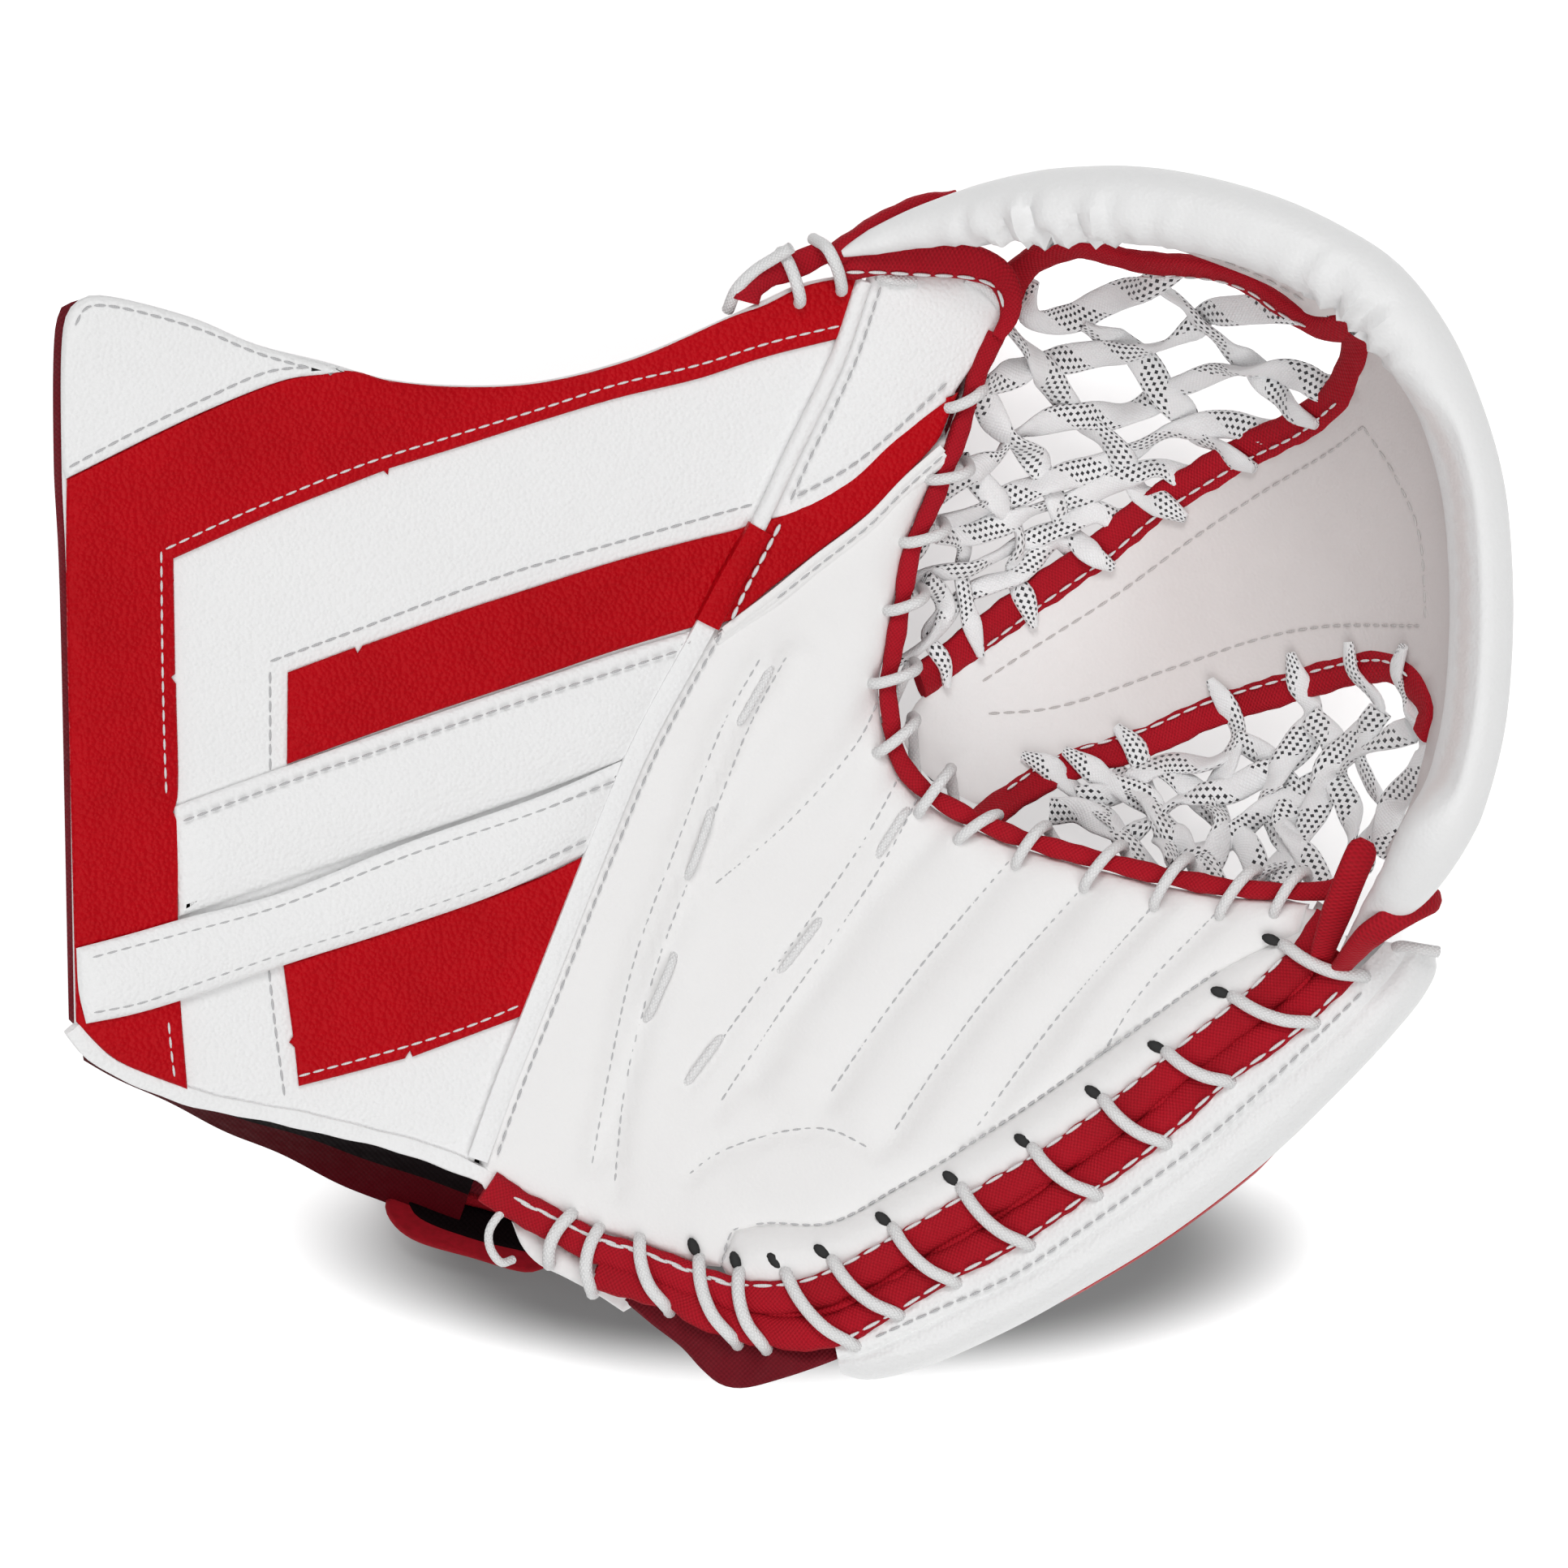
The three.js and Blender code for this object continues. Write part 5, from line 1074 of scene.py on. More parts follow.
# Pocket bindings: narrow red nylon folds along the palm's edge, the T's two long edges and the top of
# the upper window, each with a white running stitch.
pocket_stitches_px = [[[1166, 502], [1212, 478]], [[1144, 590], [1196, 578]], [[1112, 668], [1166, 652]],
                      [[1092, 752], [1140, 734]], [[1074, 842], [1130, 824]], [[1080, 928], [1128, 890]],
                      [[1132, 1002], [1170, 950]], [[1180, 1036], [1226, 1004]],
                      [[1252, 1066], [1286, 1018]], [[1336, 1094], [1379, 1042]],
                      [[1422, 1116], [1461, 1058]], [[1503, 1128], [1544, 1072]],
                      [[1570, 1128], [1604, 1074]]]
thumb_binding_px = [[1228, 410], [1207, 455], [1195, 493], [1182, 533], [1167, 576], [1152, 613],
                    [1137, 646], [1124, 677], [1112, 741], [1100, 809], [1094, 845], [1100, 900]]
finger_binding_px = [[1098, 890], [1104, 924], [1122, 956], [1156, 985], [1240, 1026], [1365, 1062],
                     [1440, 1080], [1519, 1094], [1583, 1098], [1640, 1096], [1668, 1084]]
top_window_px = [[1240, 366], [1252, 342], [1272, 324], [1296, 314], [1333, 309], [1399, 325], [1485, 334],
                 [1532, 350], [1580, 382], [1625, 406], [1666, 404]]
web_upper_px = [[1670, 404], [1666, 440], [1645, 490], [1600, 524], [1536, 556], [1418, 628], [1363, 674],
                [1272, 738], [1202, 790], [1136, 842]]
web_lower_px = [[1214, 1008], [1234, 990], [1306, 947], [1412, 913], [1492, 877], [1587, 847], [1683, 822],
                [1715, 824], [1744, 848], [1755, 874], [1748, 905]]
pocket_pinches = np.mean(pocket_stitches_px, axis=1)
for binding_name, surface, binding_px, width, height, lift, body in (
        ("pocket_binding_thumb", palm_surface, thumb_binding_px, 0.0052, 0.0048, -0.0002, "cuff"),
        ("pocket_binding_fingers", palm_surface, finger_binding_px, 0.0054, 0.0048, -0.0002, None),
        ("net_binding_top", pocket_surface, top_window_px, 0.0086, 0.0036, -0.0010, None),
        ("web_binding_upper", pocket_surface, web_upper_px, 0.0098, 0.0034, -0.0010, None),
        ("web_binding_lower", pocket_surface, web_lower_px, 0.0088, 0.0034, -0.0010, None)):
    on_palm = surface is palm_surface
    binding = bind_edge(binding_name, surface, binding_px, width, height, lift,
                        pinches=pocket_pinches if on_palm else None)
    dress(binding, red_nylon, body, binding_name)
    if body is None:
        fold_at_break(binding)
pocket_stitches = sew("pocket_binding_stitches", white_thread, None, [
    [[1404, 336], [1487, 338], [1538, 352], [1585, 384], [1628, 405]],
    [[1652, 494], [1606, 532], [1542, 564], [1424, 636], [1369, 682], [1278, 746], [1208, 798]],
    [[1240, 978], [1302, 937], [1408, 903], [1488, 868], [1584, 838], [1683, 814], [1718, 816], [1750, 842]],
], pocket_surface, 0.0016, pitch=0.0050, length=0.0043, thread=0.0004)
fold_at_break(pocket_stitches)


# Pocket lace: one white braided cord whipped round the palm's edge binding, which hangs the web and
# both nets from the palm.
pocket_lace_stops = ((0, -0.0070, 0), (0, -0.0008, 0), (0.1, 0.0026, 0), (0.4, 0.0044, 0), (0.7, 0.0042, 0),
                     (0.94, 0.0014, 0), (1.05, -0.0040, 0), (1, -0.0110, 0))
pocket_lace = lace_through("pocket_lace", over_and_under(pocket_stitches_px, pocket_lace_stops), 0.0016)
dress(pocket_lace, round_lace, None, "pocket_lace")
fold_at_break(pocket_lace)


# Nets: flat skate laces with rows of small black woven dots, crossing over and under each other and
# turning as they go. Their ends are drawn over the T's bindings and cut to a point.
falling_px = [[[1404, 353], [1444, 371], [1479, 399], [1515, 438], [1547, 466], [1570, 486], [1598, 503],
               [1629, 520]],
              [[1333, 403], [1369, 422], [1408, 450], [1428, 478], [1452, 505], [1470, 537], [1507, 553],
               [1553, 574]],
              [[1242, 391], [1286, 454], [1333, 517], [1369, 545], [1392, 580], [1404, 608], [1436, 620],
               [1466, 636]],
              [[1213, 474], [1238, 533], [1270, 557], [1294, 592], [1317, 652], [1345, 679], [1373, 697]],
              [[1193, 569], [1230, 616], [1258, 648], [1254, 707], [1262, 738], [1272, 770]],
              [[1151, 659], [1191, 669], [1191, 735], [1195, 774], [1204, 806]],
              [[1142, 715], [1163, 731], [1171, 754], [1151, 786], [1159, 818], [1161, 845]]]
rising_px = [[[1266, 351], [1274, 391], [1321, 395], [1353, 379], [1385, 365], [1416, 353], [1444, 338]],
             [[1219, 478], [1278, 454], [1353, 438], [1428, 430], [1464, 414], [1483, 395], [1531, 387],
              [1590, 387], [1614, 393], [1644, 402]],
             [[1167, 608], [1195, 580], [1230, 569], [1262, 537], [1321, 513], [1385, 513], [1456, 478],
              [1511, 458], [1600, 468], [1622, 482], [1644, 488]],
             [[1147, 652], [1191, 640], [1254, 612], [1298, 592], [1373, 572], [1440, 533], [1511, 525],
              [1548, 534], [1580, 536]],
             [[1124, 695], [1155, 659], [1203, 659], [1270, 632], [1329, 616], [1400, 582], [1432, 578],
              [1462, 590], [1490, 584]],
             [[1112, 754], [1143, 715], [1203, 699], [1258, 675], [1313, 648], [1353, 632], [1378, 642],
              [1402, 638]],
             [[1108, 825], [1132, 806], [1159, 774], [1203, 731], [1258, 707], [1306, 669], [1326, 682],
              [1346, 684]]]
lower_falling_px = [[[1413, 1065], [1398, 1049], [1378, 1017], [1358, 993], [1330, 970], [1295, 950],
                     [1259, 936]],
                    [[1445, 1065], [1437, 1033], [1421, 986], [1374, 966], [1338, 946], [1313, 930]],
                    [[1492, 1084], [1457, 1033], [1437, 1017], [1417, 982], [1409, 954], [1402, 926],
                     [1378, 899]],
                    [[1477, 1084], [1508, 1017], [1492, 978], [1512, 938], [1524, 903], [1516, 871],
                     [1496, 839]],
                    [[1579, 1088], [1595, 1049], [1552, 989], [1575, 954], [1595, 918], [1611, 875],
                     [1607, 847], [1597, 804]],
                    [[1540, 1092], [1568, 1065], [1615, 1001], [1643, 938], [1666, 906], [1690, 871],
                     [1674, 831], [1670, 790]],
                    [[1694, 1053], [1702, 1025], [1710, 989], [1738, 954], [1749, 918], [1734, 883],
                     [1726, 839], [1738, 796]]]
lower_crossing_px = [[[1295, 989], [1330, 993], [1358, 1009], [1386, 1033], [1421, 1057]],
                     [[1370, 946], [1406, 978], [1433, 1013], [1477, 1053], [1500, 1084]],
                     [[1425, 934], [1469, 970], [1500, 1005], [1536, 1037], [1556, 1084]],
                     [[1524, 910], [1568, 938], [1591, 978], [1579, 1013], [1607, 1049], [1627, 1084]],
                     [[1611, 883], [1639, 914], [1639, 954], [1658, 993], [1662, 1033], [1655, 1069]],
                     [[1694, 875], [1670, 926], [1682, 962], [1698, 993], [1678, 1033], [1666, 1069]],
                     [[1330, 978], [1366, 974], [1406, 954], [1437, 938], [1492, 938], [1528, 910]],
                     [[1378, 1025], [1421, 1005], [1453, 982], [1508, 974], [1548, 954], [1587, 934],
                      [1611, 899]],
                     [[1445, 1057], [1485, 1041], [1516, 1025], [1548, 1005], [1599, 974], [1635, 950],
                      [1666, 930], [1698, 910], [1726, 899]]]

net_lace, net_tree, net_shader = new_finish("dotted_mesh_lace")
net_threads = place_group(net_tree, braid, "UV", across=0.0009, along=0.0012)
net_across, net_along = across_and_along(net_tree, add_node(net_tree, "TexCoord", {})["UV"])
row = calculate(net_tree, "DIVIDE", net_across, 0.00145)
column = calculate(net_tree, "DIVIDE", net_along, 0.0018)
odd_row = calculate(net_tree, "MODULO", calculate(net_tree, "FLOOR", row), 2)
odd = calculate(net_tree, "MULTIPLY", odd_row, 0.5)
from_row, from_column = (
    calculate(net_tree, "ABSOLUTE", calculate(net_tree, "SUBTRACT", calculate(net_tree, "FRACT", place), 0.5))
    for place in (row, calculate(net_tree, "ADD", column, odd)))
dot = calculate(net_tree, "LESS_THAN", calculate(net_tree, "MULTIPLY_ADD", from_row, 1.04, from_column), 0.36)
slant = calculate(net_tree, "ADD", calculate(net_tree, "DIVIDE", net_across, 0.0178),
                  calculate(net_tree, "DIVIDE", net_along, 0.026))
dotted = calculate(net_tree, "LESS_THAN", calculate(net_tree, "FRACT", slant), 0.5)
dots = calculate(net_tree, "MULTIPLY", dot, dotted)
woven = blend_colors(net_tree, net_threads["Shade"], (0.86, 0.86, 0.87), (0.97, 0.97, 0.975))
plug(net_tree, net_shader, {
    "Base Color": blend_colors(net_tree, dots, woven, (0.004, 0.004, 0.008)),
    "Roughness": 0.85, "Sheen Weight": 0.55, "Sheen Roughness": 0.6,
    "Normal": bumped(net_tree, net_threads["Height"], 0.6, 0.00025)})


def crossings(line, others):
    """Where a lace crosses the laces of the other family, as places along it and their order."""
    found = []
    for order, other in enumerate(others):
        gap = np.hypot(line[:, :1] - other[:, 0], line[:, 1:2] - other[:, 1])
        if gap.min() < 0.0016:
            found.append((int(np.unravel_index(gap.argmin(), gap.shape)[0]), order))
    return found


def net_of_laces(name, families, widths):
    """Two families of laces that cross. The first family's far ends are drawn over the binding."""
    step = 0.0011
    lines = [[smooth_run(at(lace_px), step) for lace_px in family] for family in families]
    laces = []
    for side, family in enumerate(lines):
        for number, line in enumerate(family):
            steps = np.arange(len(line))
            to_end = (len(line) - 1 - steps) * step
            lift = np.full(len(line), -0.0018)
            width = np.full(len(line), widths[side][number] * 1.07)
            turn = 0.85 * np.sin(steps * 0.115 + 2.1 * number + side) + 0.3 * np.sin(steps * 0.29 + number)
            for crossed, order in crossings(line, lines[1 - side]):
                over = (number + order + side) % 2
                lift = lift + (0.0017 if over else -0.0017) * near(steps - crossed, 4.0)
                width = width * (1 - (0.08 if over else 0.24) * near(steps - crossed, 3.2))
            if side == 0:
                lift = lift + 0.0040 * np.exp(-(np.clip(to_end - 0.002, 0, 1) / 0.0095) ** 4)
                width = width * np.clip(0.34 + to_end / 0.014, 0.34, 1)
                width = width * (1 - 0.25 * near(to_end - 0.014, 0.005))
                turn = turn * np.clip(to_end / 0.02, 0, 1)
            else:
                lift = lift - 0.0016 * near(np.minimum(steps * step, to_end), 0.005)
            places, normals = on_surface(pocket_surface, *line.T, lift)
            across = np.cross(headings(places), normals)
            ups = normals * np.cos(turn)[:, None] + across * np.sin(turn)[:, None]
            section = rounded(1, 1, 16, 0.12) * np.stack([width, np.full(len(line), 0.0027)], -1)[:, None]
            laces.append(wrap_along("net_lace", places, ups, section))
    net = dress(join_as(name, laces), net_lace, None, name)
    fold_at_break(net)


net_of_laces("upper_net", (falling_px, rising_px), ([0.0080, 0.0082, 0.0082, 0.0078, 0.0070, 0.0060, 0.0054],
                                                    [0.0080, 0.0080, 0.0078, 0.0074, 0.0068, 0.0060, 0.0054]))
net_of_laces("lower_net", (lower_falling_px, lower_crossing_px), ([0.0076] * 7, [0.0072] * 9))


# Tips of the thumb and the fingers: red nylon bindings close both ends of the padded rim. Narrow loops
# of the same nylon hold it down, and short white laces are drawn through them.
thumb_band_px = [[1031, 324], [1080, 314], [1128, 315], [1196, 321], [1228, 336], [1241, 362], [1240, 388],
                 [1226, 412]]
thumb_band_places, thumb_band_ups = line_on(palm_surface, thumb_band_px, 0.0018, 0.0034)
thumb_band_taper = np.interp(np.linspace(0, 1, len(thumb_band_places)), [0, 0.05, 0.6, 0.8, 1],
                             [0.75, 1, 1, 0.72, 0.36])
thumb_band = wrap_along("thumb_tip_binding", thumb_band_places, thumb_band_ups,
                        rounded(0.0098, 0.0046, 16, 0.6) * thumb_band_taper[:, None, None])
dress(thumb_band, red_nylon, "cuff", "thumb_tip_binding")
thumb_top_px = [[1014, 318], [1044, 296], [1082, 272], [1128, 251], [1174, 244]]
thumb_loop_px = [[920, 372], [926, 356], [944, 342], [966, 334], [990, 324], [1014, 312]]
for thumb_part, part_px, part_width, part_height, part_lift in (
        ("thumb_top_binding", thumb_top_px, 0.0064, 0.0050, 0.0046),
        ("thumb_tip_loop", thumb_loop_px, 0.0072, 0.0034, -0.0010)):
    part = bind_edge(thumb_part, palm_surface, part_px, part_width, part_height, part_lift)
    dress(part, red_nylon, "cuff", thumb_part)
sew("thumb_tip_stitches", white_thread, "cuff", [
    [[1036, 330], [1070, 330], [1128, 333], [1196, 338], [1222, 350], [1230, 372], [1228, 392]],
], palm_surface, 0.0060, pitch=0.0062, length=0.0053, thread=0.0005)
thumb_laces = [
    [[968, 300, 0.0060], [950, 316, 0.0030], [930, 332, 0.0010], [910, 356, -0.0010], [903, 388, -0.0060]],
    [[966, 314, -0.0040], [968, 320, 0.0030], [974, 340, 0.0060], [981, 364, 0.0048], [985, 378, -0.0030]],
    [[1006, 298, -0.0040], [1012, 300, 0.0080], [1022, 322, 0.0090], [1032, 350, 0.0050],
     [1038, 362, -0.0030]],
    [[1080, 338, 0.0010], [1100, 343, 0.0016], [1128, 345, 0.0006]],
    [[1190, 341, 0.0012], [1214, 354, 0.0020], [1234, 376, 0.0006]]]
for number, stops in enumerate(thumb_laces, start=1):
    thumb_lace = lace_through(f"thumb_lace_{number}", smooth_run(above_palm(stops), lace_step), 0.0017)
    dress(thumb_lace, round_lace, "cuff")

finger_loops = [
    ("finger_tip_loop_1", 0.0088, [[1702, 1052, 0.0240], [1690, 1078, 0.0240], [1670, 1114, 0.0190],
                                   [1652, 1146, 0.0130], [1636, 1172, 0.0060], [1626, 1190, 0.0010]]),
    ("finger_tip_loop_2", 0.0078, [[1788, 1118, 0.0200], [1768, 1132, 0.0250], [1741, 1150, 0.0280],
                                   [1708, 1168, 0.0250], [1678, 1185, 0.0150], [1652, 1198, 0.0030]])]
for loop_name, loop_width, stops in finger_loops:
    loop_places = smooth_run(above_palm(stops), 0.0018)
    loop_share = np.linspace(0, 1, len(loop_places))
    round_end = np.sqrt(1 - (1 - np.clip(loop_share / 0.10 + 0.12, 0, 1)) ** 2)
    narrowing = round_end * (1 - 0.30 * np.clip((loop_share - 0.5) / 0.5, 0, 1))
    loop = wrap_along(loop_name, loop_places, np.tile([0.25, -0.2, 1.0], (len(loop_places), 1)),
                      rounded(loop_width, 0.0036, 16, 0.6) * narrowing[:, None, None])
    dress(loop, red_nylon, "hand", loop_name)
board_end_stops = [[1716, 1166, -0.0030], [1730, 1168, 0.0030], [1752, 1172, 0.0042], [1774, 1174, 0.0016]]
board_end_lace = lace_through("board_end_lace", smooth_run(above_palm(board_end_stops), lace_step), 0.0016)
dress(board_end_lace, round_lace, "hand")


# Back board: a stiff board wrapped in white leather that the fingers lie against. Its laced edge rolls
# over and down to the floor, a running stitch painted grey as shade along the roll, and a red edge under it.
board_inner_px = [[1030, 1664], [1046, 1656], [1102, 1624], [1174, 1584], [1262, 1538], [1347, 1478],
                  [1433, 1414], [1510, 1342], [1608, 1268], [1674, 1206], [1704, 1176], [1716, 1162]]
board_outer_px = [[1036, 1694], [1066, 1701], [1132, 1688], [1245, 1639], [1340, 1586], [1440, 1524],
                  [1560, 1432], [1650, 1346], [1716, 1276], [1756, 1226], [1771, 1194], [1768, 1170]]
board_stations = 90
board_share = np.linspace(0, 1, board_stations)
board_inner = by_share(smooth_run(at(board_inner_px), 0.001), board_share)
board_outer = by_share(smooth_run(at(board_outer_px), 0.001), board_share)
board_top = palm_surface(*board_inner.T)
board_face = np.linalg.norm(board_outer - board_inner, axis=1)
board_reach = 0.024
board_fall = 0.009
board_wall = 0.0045


def board_profile(face, top):
    """Across the edge: the flat laced face, the roll, the wall down to the floor and the turn under."""
    rim = top - board_fall
    outside = [(-0.002, -0.001), (0.14 * face, 0.0006), (0.30 * face, 0.0004), (0.37 * face, -0.0006),
               (0.44 * face, 0.0002), (0.58 * face, 0.0010), (0.74 * face, -0.0004), (0.88 * face, -0.0036),
               (0.96 * face, -0.0078), (face, -0.0130), (face - 0.0004, -0.0170),
               (face - 0.0016, -rim * 0.6 - board_fall), (face - 0.0050, -rim * 0.84 - board_fall),
               (face - 0.0100, -top + 0.0014), (face - 0.0150, -top + 0.0002),
               (face - board_reach, -top + 0.0002)]
    inside = [(face - board_reach, -top + board_wall), (face - 0.0150, -top + board_wall),
              (face - 0.0100, -top + board_wall + 0.0010), (face - 0.0062, -rim * 0.6 - board_fall),
              (face - 0.0056, -0.0160), (0.8 * face - 0.002, -0.0090), (0.5 * face, -0.0050),
              (-0.002, -0.0046)]
    return outside + inside


board_section = np.array([board_profile(face, top) for face, top in zip(board_face, board_top)])
board_out = np.column_stack([(board_outer - board_inner) / board_face[:, None], np.zeros(board_stations)])
board_skin = (np.column_stack([board_inner, board_top])[:, None] + board_out[:, None] * board_section[..., :1]
              + np.array([0, 0, 1]) * board_section[..., 1:])
dress(skin_over("finger_edge_board", board_skin), white_leather, "hand", "finger_edge_board")

rim_share = board_share[3:-3]
rim_inset = np.interp(rim_share, [0, 0.22, 0.34, 0.62, 0.74, 1],
                      [0.0046, 0.0046, 0.0022, 0.0022, 0.0046, 0.0046])
rim_drop = np.interp(rim_share, [0, 0.1, 0.25, 0.8, 1], [0.046, 0.036, 0.030, 0.030, 0.040])
rim_out = board_out[3:-3]
rim_places = np.column_stack([board_outer[3:-3] - rim_out[:, :2] * rim_inset[:, None],
                              board_top[3:-3] - rim_drop])
rim_taper = (np.sin(np.pi * np.clip(rim_share * 12, 0, 0.5))
             * np.sin(np.pi * np.clip((1 - rim_share) * 12, 0, 0.5)))
red_rim = wrap_along("board_red_rim", rim_places, rim_out,
                     rounded(0.0060, 0.0060, 12) * rim_taper[:, None, None])
dress(red_rim, red_leather, "hand")
sew("board_stitches", painted_shade_thread, "hand", [
    [[1079, 1648], [1160, 1612], [1245, 1574], [1330, 1518], [1400, 1468], [1500, 1392], [1600, 1300],
     [1690, 1212]],
], palm_surface, 0.0004)


# Back of the hand: a flat board and a foam pad that close the glove behind the fingers, and a second
# board and pad behind the thumb. The boards are covered in white leather and the pads in soft leather.
# A dark nylon gusset closes the gap between the thumb's board and its face.
def flat_level(height):
    return lambda x, y: np.full(np.shape(x), height)


hand_back_px = [[1120, 1040], [1236, 1066], [1440, 1118], [1560, 1150], [1650, 1196], [1648, 1240],
                [1590, 1296], [1500, 1374], [1380, 1462], [1270, 1536], [1150, 1598], [1060, 1630],
                [960, 1600], [900, 1500], [800, 1470], [812, 1420], [870, 1320], [930, 1250], [1000, 1170],
                [1060, 1100]]
thumb_board_px = [[1066, 374], [1150, 374], [1194, 402], [1170, 500], [1120, 620], [1080, 760], [1050, 880],
                  [990, 938], [902, 938], [862, 860], [910, 780], [960, 660], [1010, 520]]
plates = [("finger_back_board", hand_back_px, 0.0057, 0.0055, white_leather, "hand"),
          ("back_of_hand_pad", hand_back_px, 0.0127, 0.0066, soft_leather, "hand"),
          ("thumb_back_board", thumb_board_px, 0.0057, 0.0055, white_leather, "cuff"),
          ("thumb_back_pad", thumb_board_px, 0.0240, 0.0180, soft_leather, "cuff")]
for plate_name, plate_px, plate_top, plate_wall, plate_finish, plate_body in plates:
    plate = make_panel(plate_name, plate_px, flat_level(plate_top), 0, plate_wall, cell=0.010,
                       rims=(0.0008, 0.0012), roundness=0.0024, step=0.004)
    dress(plate, plate_finish, plate_body, plate_name)


def swell(pad, cap):
    """Lets the padded cover fill out by cloth simulation. No point moves farther than the cap."""
    bpy.ops.object.select_all(action="DESELECT")
    pad.select_set(True)
    bpy.context.view_layer.objects.active = pad
    even = pad.modifiers.new("even", "REMESH")
    even.mode = "VOXEL"
    even.voxel_size = 0.004
    bpy.ops.object.modifier_apply(modifier="even")
    before = corners_of(pad)
    cloth = pad.modifiers.new("cloth", "CLOTH")
    cloth.settings.use_pressure = True
    cloth.settings.uniform_pressure_force = 4
    cloth.settings.effector_weights.gravity = 0
    for step in range(1, 21):
        bpy.context.scene.frame_set(step)
    filled = pad.evaluated_get(bpy.context.evaluated_depsgraph_get())
    after = np.array([corner.co for corner in filled.data.vertices])
    pad.modifiers.remove(cloth)
    bpy.context.scene.frame_set(1)
    moved = after - before
    far = np.linalg.norm(moved, axis=1, keepdims=True).clip(1e-9)
    set_corners(pad, before + moved * np.minimum(1, cap / far))
    smooth = pad.modifiers.new("smooth", "SUBSURF")
    smooth.levels = smooth.render_levels = 1
    bpy.ops.object.modifier_apply(modifier="smooth")
    bpy.ops.object.shade_smooth()


for pad_name in ("back_of_hand_pad", "thumb_back_pad"):
    back_pad = bpy.data.objects[f"{pad_name}_sewn"]
    swell(back_pad, 0.0022)

gusset_px = [[896, 936], [862, 862], [908, 780], [956, 660], [1006, 520], [1056, 380], [1068, 370],
             [1150, 370], [1196, 398], [1176, 500], [1126, 620], [1086, 760], [1054, 884]]
gusset_line = smooth_run(at(gusset_px), 0.004)
gusset_ahead = headings(gusset_line)
gusset_out = np.column_stack([-gusset_ahead[:, 1], gusset_ahead[:, 0], np.zeros(len(gusset_line))])
gusset_low = 0.0012
gusset_top = palm_surface(*gusset_line.T) - 0.0100
gusset_rows = []
for share in np.linspace(0, 1, 12):
    bulge = 0.0030 * np.sin(np.pi * share) + 0.0007 * np.sin(np.arange(len(gusset_line)) * 0.7 + 5 * share)
    row = np.column_stack([gusset_line, gusset_low + (gusset_top - gusset_low) * share])
    gusset_rows.append(row + gusset_out * bulge[:, None])
gusset_front = np.array(gusset_rows)
gusset_back = gusset_front[::-1] - gusset_out * 0.0010
thumb_gusset = skin_over("thumb_gusset", np.concatenate([gusset_front, gusset_back]).transpose(1, 0, 2))
dress(thumb_gusset, dark_nylon, "cuff")


# Stalls: four nylon finger tubes and one for the thumb, each sewn in rings over thin foam, with an open
# mouth toward the wrist and a closed tip.
stall_tip = 0.011
stall_wall = 0.0016
ring_pitch = 0.012
ring_turn = np.arange(28) * 2 * np.pi / 28
finger_stalls = [("index_stall", [[1128, 1092], [1492, 1146]], 0.0093, 0.0226, "hand"),
                 ("middle_stall", [[1086, 1184], [1436, 1244]], 0.0093, 0.0226, "hand"),
                 ("ring_stall", [[1040, 1276], [1352, 1330]], 0.0093, 0.0226, "hand"),
                 ("little_stall", [[990, 1366], [1240, 1408]], 0.0093, 0.0226, "hand"),
                 ("thumb_stall", [[962, 880], [1108, 470]], 0.0117, 0.0356, "cuff")]


def round_tip(to_end, least):
    """How wide a stall is near its tip, as a share of its radius."""
    return np.sqrt(1 - (1 - np.clip(to_end / stall_tip, least, 1)) ** 2)


for stall_name, (mouth_px, tip_px), stall_radius, stall_height, stall_body in finger_stalls:
    mouth, tip = at(mouth_px), at(tip_px)
    stall_length = np.linalg.norm(tip - mouth)
    near_tip = stall_length - stall_tip * np.cos(np.linspace(0.2, 1.52, 9))
    outer_run = np.sort(np.append(np.arange(0, stall_length - 0.012, 0.0025), near_tip))
    sewn_in = 1 - 0.035 * near(outer_run % ring_pitch - ring_pitch / 2, 0.0012)
    outer_girth = stall_radius * round_tip(stall_length - outer_run, 0.001) * sewn_in
    inner_run = outer_run[outer_run < stall_length - 0.006]
    inner_girth = (stall_radius - stall_wall) * round_tip(stall_length - 0.002 - inner_run, 0.05)
    whole_run = np.concatenate([outer_run[::-1], inner_run])
    whole_girth = np.concatenate([outer_girth[::-1], inner_girth])
    ahead = np.append((tip - mouth) / stall_length, 0)
    sideways = np.array([-ahead[1], ahead[0], 0])
    circle = sideways * np.cos(ring_turn)[:, None] + np.array([0, 0, 1]) * np.sin(ring_turn)[:, None]
    middles = np.append(mouth, stall_height) + ahead * whole_run[:, None]
    stall = skin_over(stall_name, middles[:, None] + circle * whole_girth[:, None, None])
    dress(stall, dark_nylon, stall_body, stall_name)


# Wrist: a thick padded guard in dark red nylon lies under the wrist, a nylon lining hangs from the
# cuff's lower edge, and a strap with a black loop face closes it. A red flap covers the heel.
guard_px = [[290, 1190], [430, 1080], [640, 980], [830, 1010], [870, 1120], [760, 1300], [700, 1405],
            [758, 1490], [752, 1558], [676, 1548], [560, 1510], [430, 1424], [320, 1340]]


def guard_crown(x, y):
    seams = np.minimum(np.abs((x * 0.6 + y * 0.8) % 0.026 - 0.013), 0.013)
    return -0.0012 * np.exp(-(seams / 0.0016) ** 2)


wrist_guard = make_panel("wrist_guard", guard_px, flat_level(0.0112), 0, 0.0080, cell=0.004,
                         rims=(0.0010, 0.0016), roundness=0.0036, crown=guard_crown, step=0.004)
dress(wrist_guard, dark_nylon, "hand", "wrist_guard")
swell(wrist_guard, 0.0015)

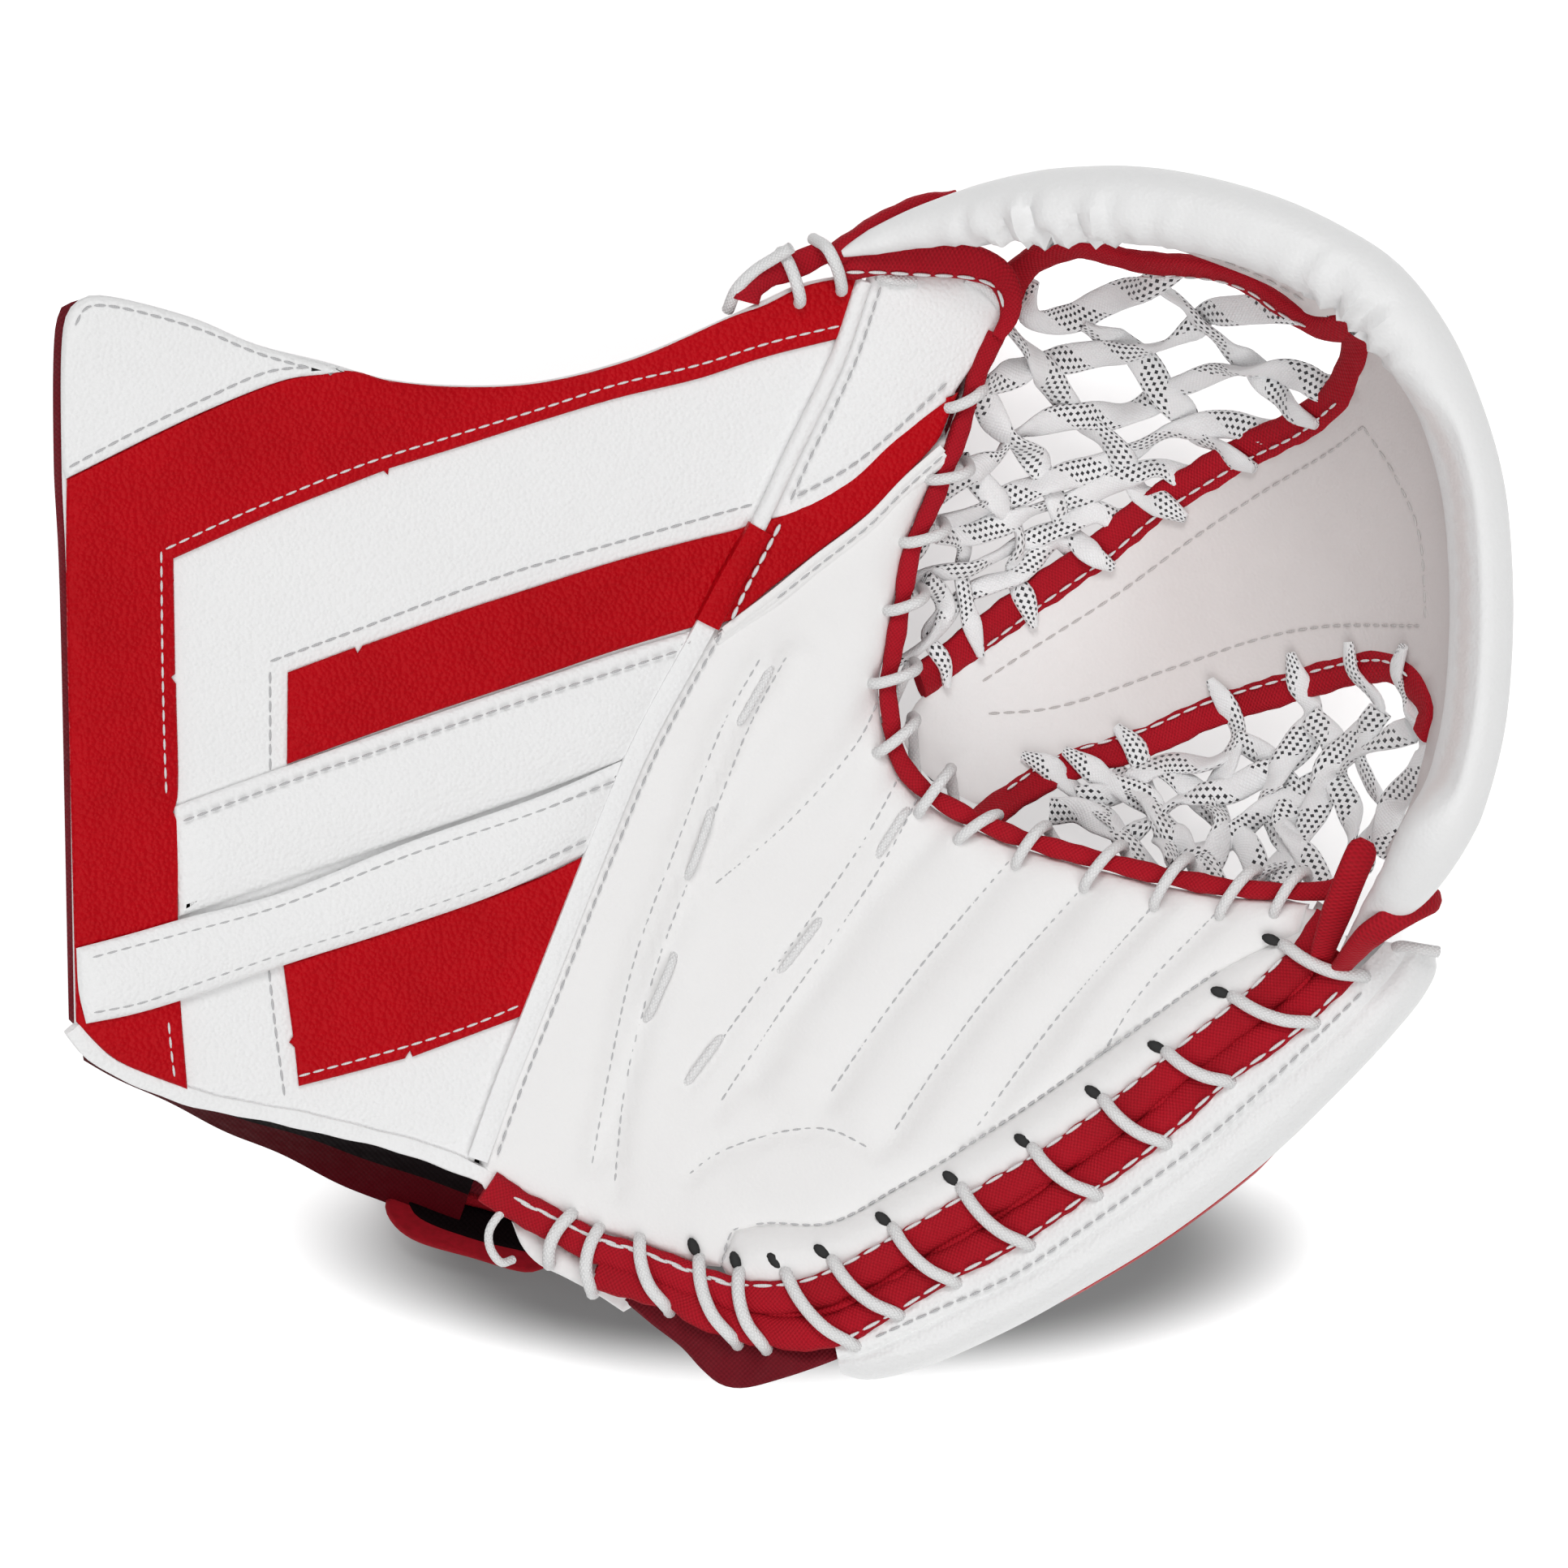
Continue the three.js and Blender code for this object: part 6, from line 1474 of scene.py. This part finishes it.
lining_top_px = [[93, 1262], [142, 1304], [240, 1344], [376, 1374], [480, 1400], [590, 1436]]
lining_low_px = [[100, 1308], [178, 1348], [270, 1392], [376, 1440], [470, 1484], [560, 1516]]
lining_share = np.linspace(0, 1, 60)
lining_top = by_share(smooth_run(at(lining_top_px), 0.004), lining_share)
lining_low = by_share(smooth_run(at(lining_low_px), 0.004), lining_share)
top_height = palm_surface(*lining_top.T) - 0.0030
lining_rows = []
for share in np.linspace(0, 1, 14):
    flat_row = lining_top * (1 - share ** 1.6) + lining_low * share ** 1.6
    ripple = 0.0004 * np.sin(21 * lining_share + 3 * share) * share
    lining_rows.append(np.column_stack([flat_row[:, 0], flat_row[:, 1] + ripple,
                                        top_height * (1 - share) + 0.0100 * share]))
lining_front = np.array(lining_rows)
lining_back = lining_front[::-1] + np.array([0.0, 0.0012, 0.0])
wrist_lining = skin_over("wrist_lining", np.concatenate([lining_front, lining_back]).transpose(1, 0, 2))
# Painted shade: the lining's nylon is painted darker as the shade under the cuff, and its rows nearest the
# cuff's edge take the black of the strap's loop face, painted as the deeper shade there.
lining_nylon_painted_shade = cloth_finish("lining_nylon_painted_shade", (0.085, 0.001, 0.005), (0.04, 0.001, 0.002),
                            0.0014, 0.00012, shine=0.03)
black_mesh_and_painted_shade = cloth_finish("black_mesh_and_painted_shade", (0.006, 0.002, 0.003), (0.002, 0.001, 0.001),
                          0.0016, 0.00012, shine=0.03)
dress(wrist_lining, lining_nylon_painted_shade, "cuff", "wrist_lining")
wrist_lining.data.materials.append(black_mesh_and_painted_shade)
painted_shade_rows = 8
points_around = len(lining_front) * 2
for face in wrist_lining.data.polygons:
    from_start = face.index % points_around
    if min(from_start, points_around - 1 - from_start) < painted_shade_rows:
        face.material_index = 1
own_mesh(wrist_lining)

strap_px = [[474, 1480], [473, 1492], [484, 1512], [508, 1530], [580, 1552], [650, 1570], [672, 1564],
            [678, 1520], [640, 1490], [540, 1464], [500, 1462]]
strap_face_px = [[500, 1480], [512, 1500], [580, 1528], [654, 1546], [662, 1522], [632, 1504], [540, 1480]]
anchor_px = [[686, 1521], [682, 1566], [744, 1584], [758, 1540], [724, 1502]]
for strap_name, strap_outline_px, strap_top, strap_wall, strap_finish, strap_body in (
        ("wrist_strap", strap_px, 0.0125, 0.0030, red_nylon, "strap"),
        ("strap_loop_face", strap_face_px, 0.0140, 0.0013, black_mesh_and_painted_shade, "strap"),
        ("strap_anchor", anchor_px, 0.0125, 0.0030, red_nylon, "hand")):
    strap_piece = make_panel(strap_name, strap_outline_px, flat_level(strap_top), 0, strap_wall, cell=0.004,
                             rims=(0.0005, 0.0008), step=0.002)
    dress(strap_piece, strap_finish, strap_body, strap_name)
lace_end_stops = [[622, 1492, 0.000], [612, 1500, 0.0020], [602, 1518, 0.0010], [604, 1540, -0.0020],
                  [616, 1556, -0.0040], [630, 1552, -0.0080]]
wrist_lace_end = lace_through("wrist_lace_end", smooth_run(above_palm(lace_end_stops), lace_step), 0.0012)
dress(wrist_lace_end, round_lace, "hand")

tail_px = [[630, 1506], [642, 1536], [660, 1556], [696, 1574], [730, 1592], [764, 1614], [780, 1604],
           [760, 1572], [700, 1540], [660, 1512]]
heel_flap_px = [[764, 1600], [800, 1630], [835, 1657], [862, 1686], [882, 1702], [906, 1707], [960, 1696],
                [1030, 1670], [1024, 1624], [930, 1626], [830, 1590], [784, 1576]]


def tail_crown(x, y):
    return 0.0014 * np.sin(x * 420 + y * 260) * np.sin(y * 500 + 1)


def heel_crown(x, y):
    return 0.0016 * np.sin(x * 240 + y * 90) * np.sin(y * 170 - x * 60)


palm_tail = make_panel("palm_leather_tail", tail_px, palm_surface, -0.0046, 0.0018, cell=0.002,
                       rims=(0.0004,), roundness=0.0010, crown=tail_crown, step=0.002)
dress(palm_tail, soft_leather, "hand")
heel_flap = make_panel("heel_flap", heel_flap_px, palm_surface, -0.0046, 0.0016, cell=0.003,
                       rims=(0.0006,), roundness=0.0014, crown=heel_crown, step=0.002)
dress(heel_flap, dark_nylon, "hand", "heel_flap")
